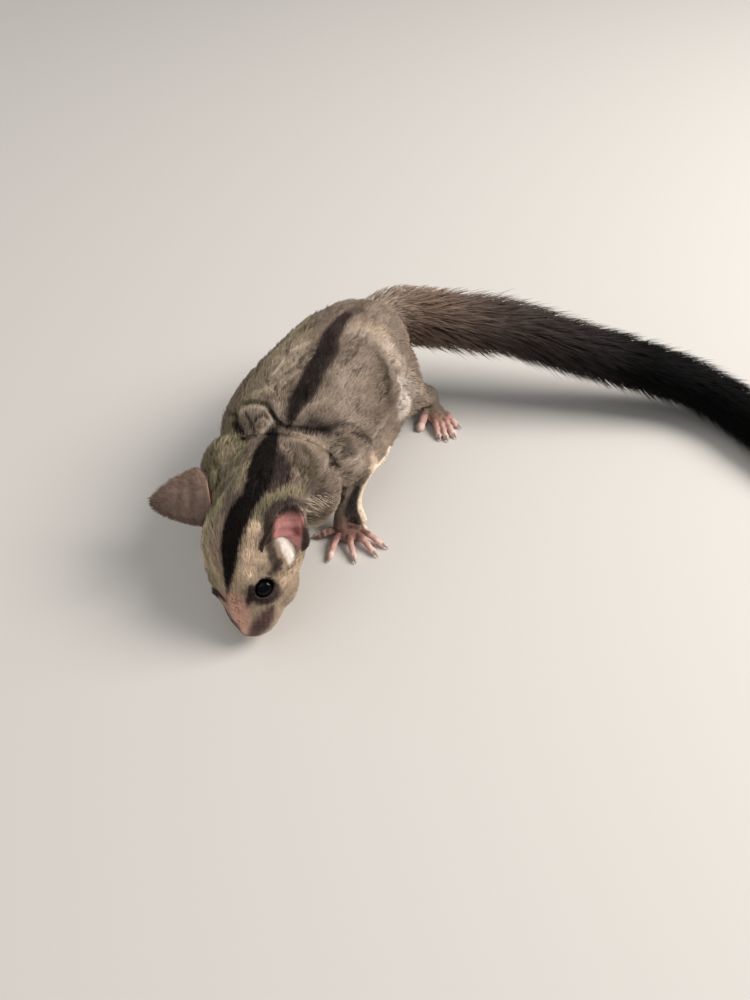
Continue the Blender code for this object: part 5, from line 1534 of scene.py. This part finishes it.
def claw_material():
    shader = Shader("claw", 0.35, Specular_IOR_Level=0.5)
    grain = shader.noise(700.0, 2.0)
    horn = {0: grain, 6: (0.62, 0.48, 0.42, 1), 7: (0.40, 0.27, 0.22, 1)}
    shader.link(shader.add("ShaderNodeMix", horn, data_type="RGBA").outputs[2], "Base Color")
    return shader.material


def dress(piece, material, nodes):
    """Gives a piece its material, ties it to the root, and hides the solids it stands for."""
    piece.data.materials.clear()
    piece.data.materials.append(material)
    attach(piece, "root")
    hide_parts(*nodes)


# The camera, floor and lights


def add_camera():
    """The photo's camera."""
    data = bpy.data.cameras.new("camera")
    data.sensor_fit = "VERTICAL"
    data.sensor_height = 36.0
    data.lens = CAMERA_FOCAL * data.sensor_height / PHOTO_SIZE[1]
    data.clip_start = 0.01
    camera = bpy.data.objects.new("camera", data)
    bpy.context.scene.collection.objects.link(camera)
    pitch = math.radians(CAMERA_PITCH)
    forward = Vector((0, math.cos(pitch), -math.sin(pitch)))
    camera.location = in_metres(CAMERA_PLACE)
    camera.rotation_euler = forward.to_track_quat("-Z", "Y").to_euler()
    bpy.context.scene.camera = camera


def add_floor():
    """A plain pale floor."""
    form = bmesh.new()
    bmesh.ops.create_grid(form, x_segments=1, y_segments=1, size=FLOOR_SIZE)
    mesh = bpy.data.meshes.new("floor")
    form.to_mesh(mesh)
    form.free()
    floor = new_object("floor", mesh)
    mesh.materials.append(plain_material("floor", 0.7, FLOOR_COLOUR, Specular_IOR_Level=0.3))


def add_light(name, direction, distance, size, power, colour):
    """A soft square lamp that faces the animal."""
    data = bpy.data.lights.new(name, "AREA")
    data.size, data.energy, data.color = size, power, colour
    lamp = bpy.data.objects.new(name, data)
    bpy.context.scene.collection.objects.link(lamp)
    way = Vector(direction).normalized()
    lamp.location = Vector(LIGHT_AIM) + way * distance
    lamp.rotation_euler = (-way).to_track_quat("-Z", "Y").to_euler()


def add_lights():
    """A soft key from the right, a fill from above and an even sky."""
    for row in LIGHTS:
        add_light(*row)
    world = bpy.data.worlds.new("sky")
    world.use_nodes = True
    background = world.node_tree.nodes["Background"]
    background.inputs["Color"].default_value = (*SKY_COLOUR, 1)
    background.inputs["Strength"].default_value = SKY_STRENGTH
    bpy.context.scene.world = world
    bpy.context.scene.view_settings.view_transform = "Standard"


def skin_colours(skin, markings):
    """The colour at each point of the skin: the coat's markings, and the flesh's own where it is bare."""
    points, normals = points_of(skin), normals_of(skin)
    return paw_colours(points, markings.at(points, normals))


def main():
    """Makes every piece, then the camera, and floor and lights."""
    skin, claws = make_skin()
    markings = Markings(tree_of(skin))
    paint(skin.data, "coat", skin_colours(skin, markings))
    skin.data.shade_smooth()
    under_skin = [name for name in frame["nodes"] if not name.startswith(("eye", "ear"))]
    dress(skin, skin_material(), under_skin)
    horn = claw_material()
    for name, piece in claws.items():
        piece.data.shade_smooth()
        dress(piece, horn, [name])
    cartilage = ear_material()
    wet = plain_material("eye", 0.05, (0.003, 0.002, 0.003), Specular_IOR_Level=0.3, IOR=1.3)
    short, long = coat_material("coat", 0.08), coat_material("tail_coat", 0.07)
    for ear, fuzz, name in make_ears():
        dress(ear, cartilage, [name])
        dress(fuzz, short, [name])
    for piece, name in make_eyes():
        dress(piece, wet, [name])
    rim = plain_material("lid", 0.35, COLOURS["plum"], Specular_IOR_Level=0.4)
    for piece in make_lids():
        dress(piece, rim, ["head"])
    dress(long_hairs(skin), short, ["neck", "foreleg_left"])
    for piece, under in short_coat(skin, markings):
        dress(piece, short, under)
    for piece in tail_coat():
        dress(piece, long, ["tail_root", "tail_middle", "tail_tip"])
    add_camera()
    add_floor()
    add_lights()


main()
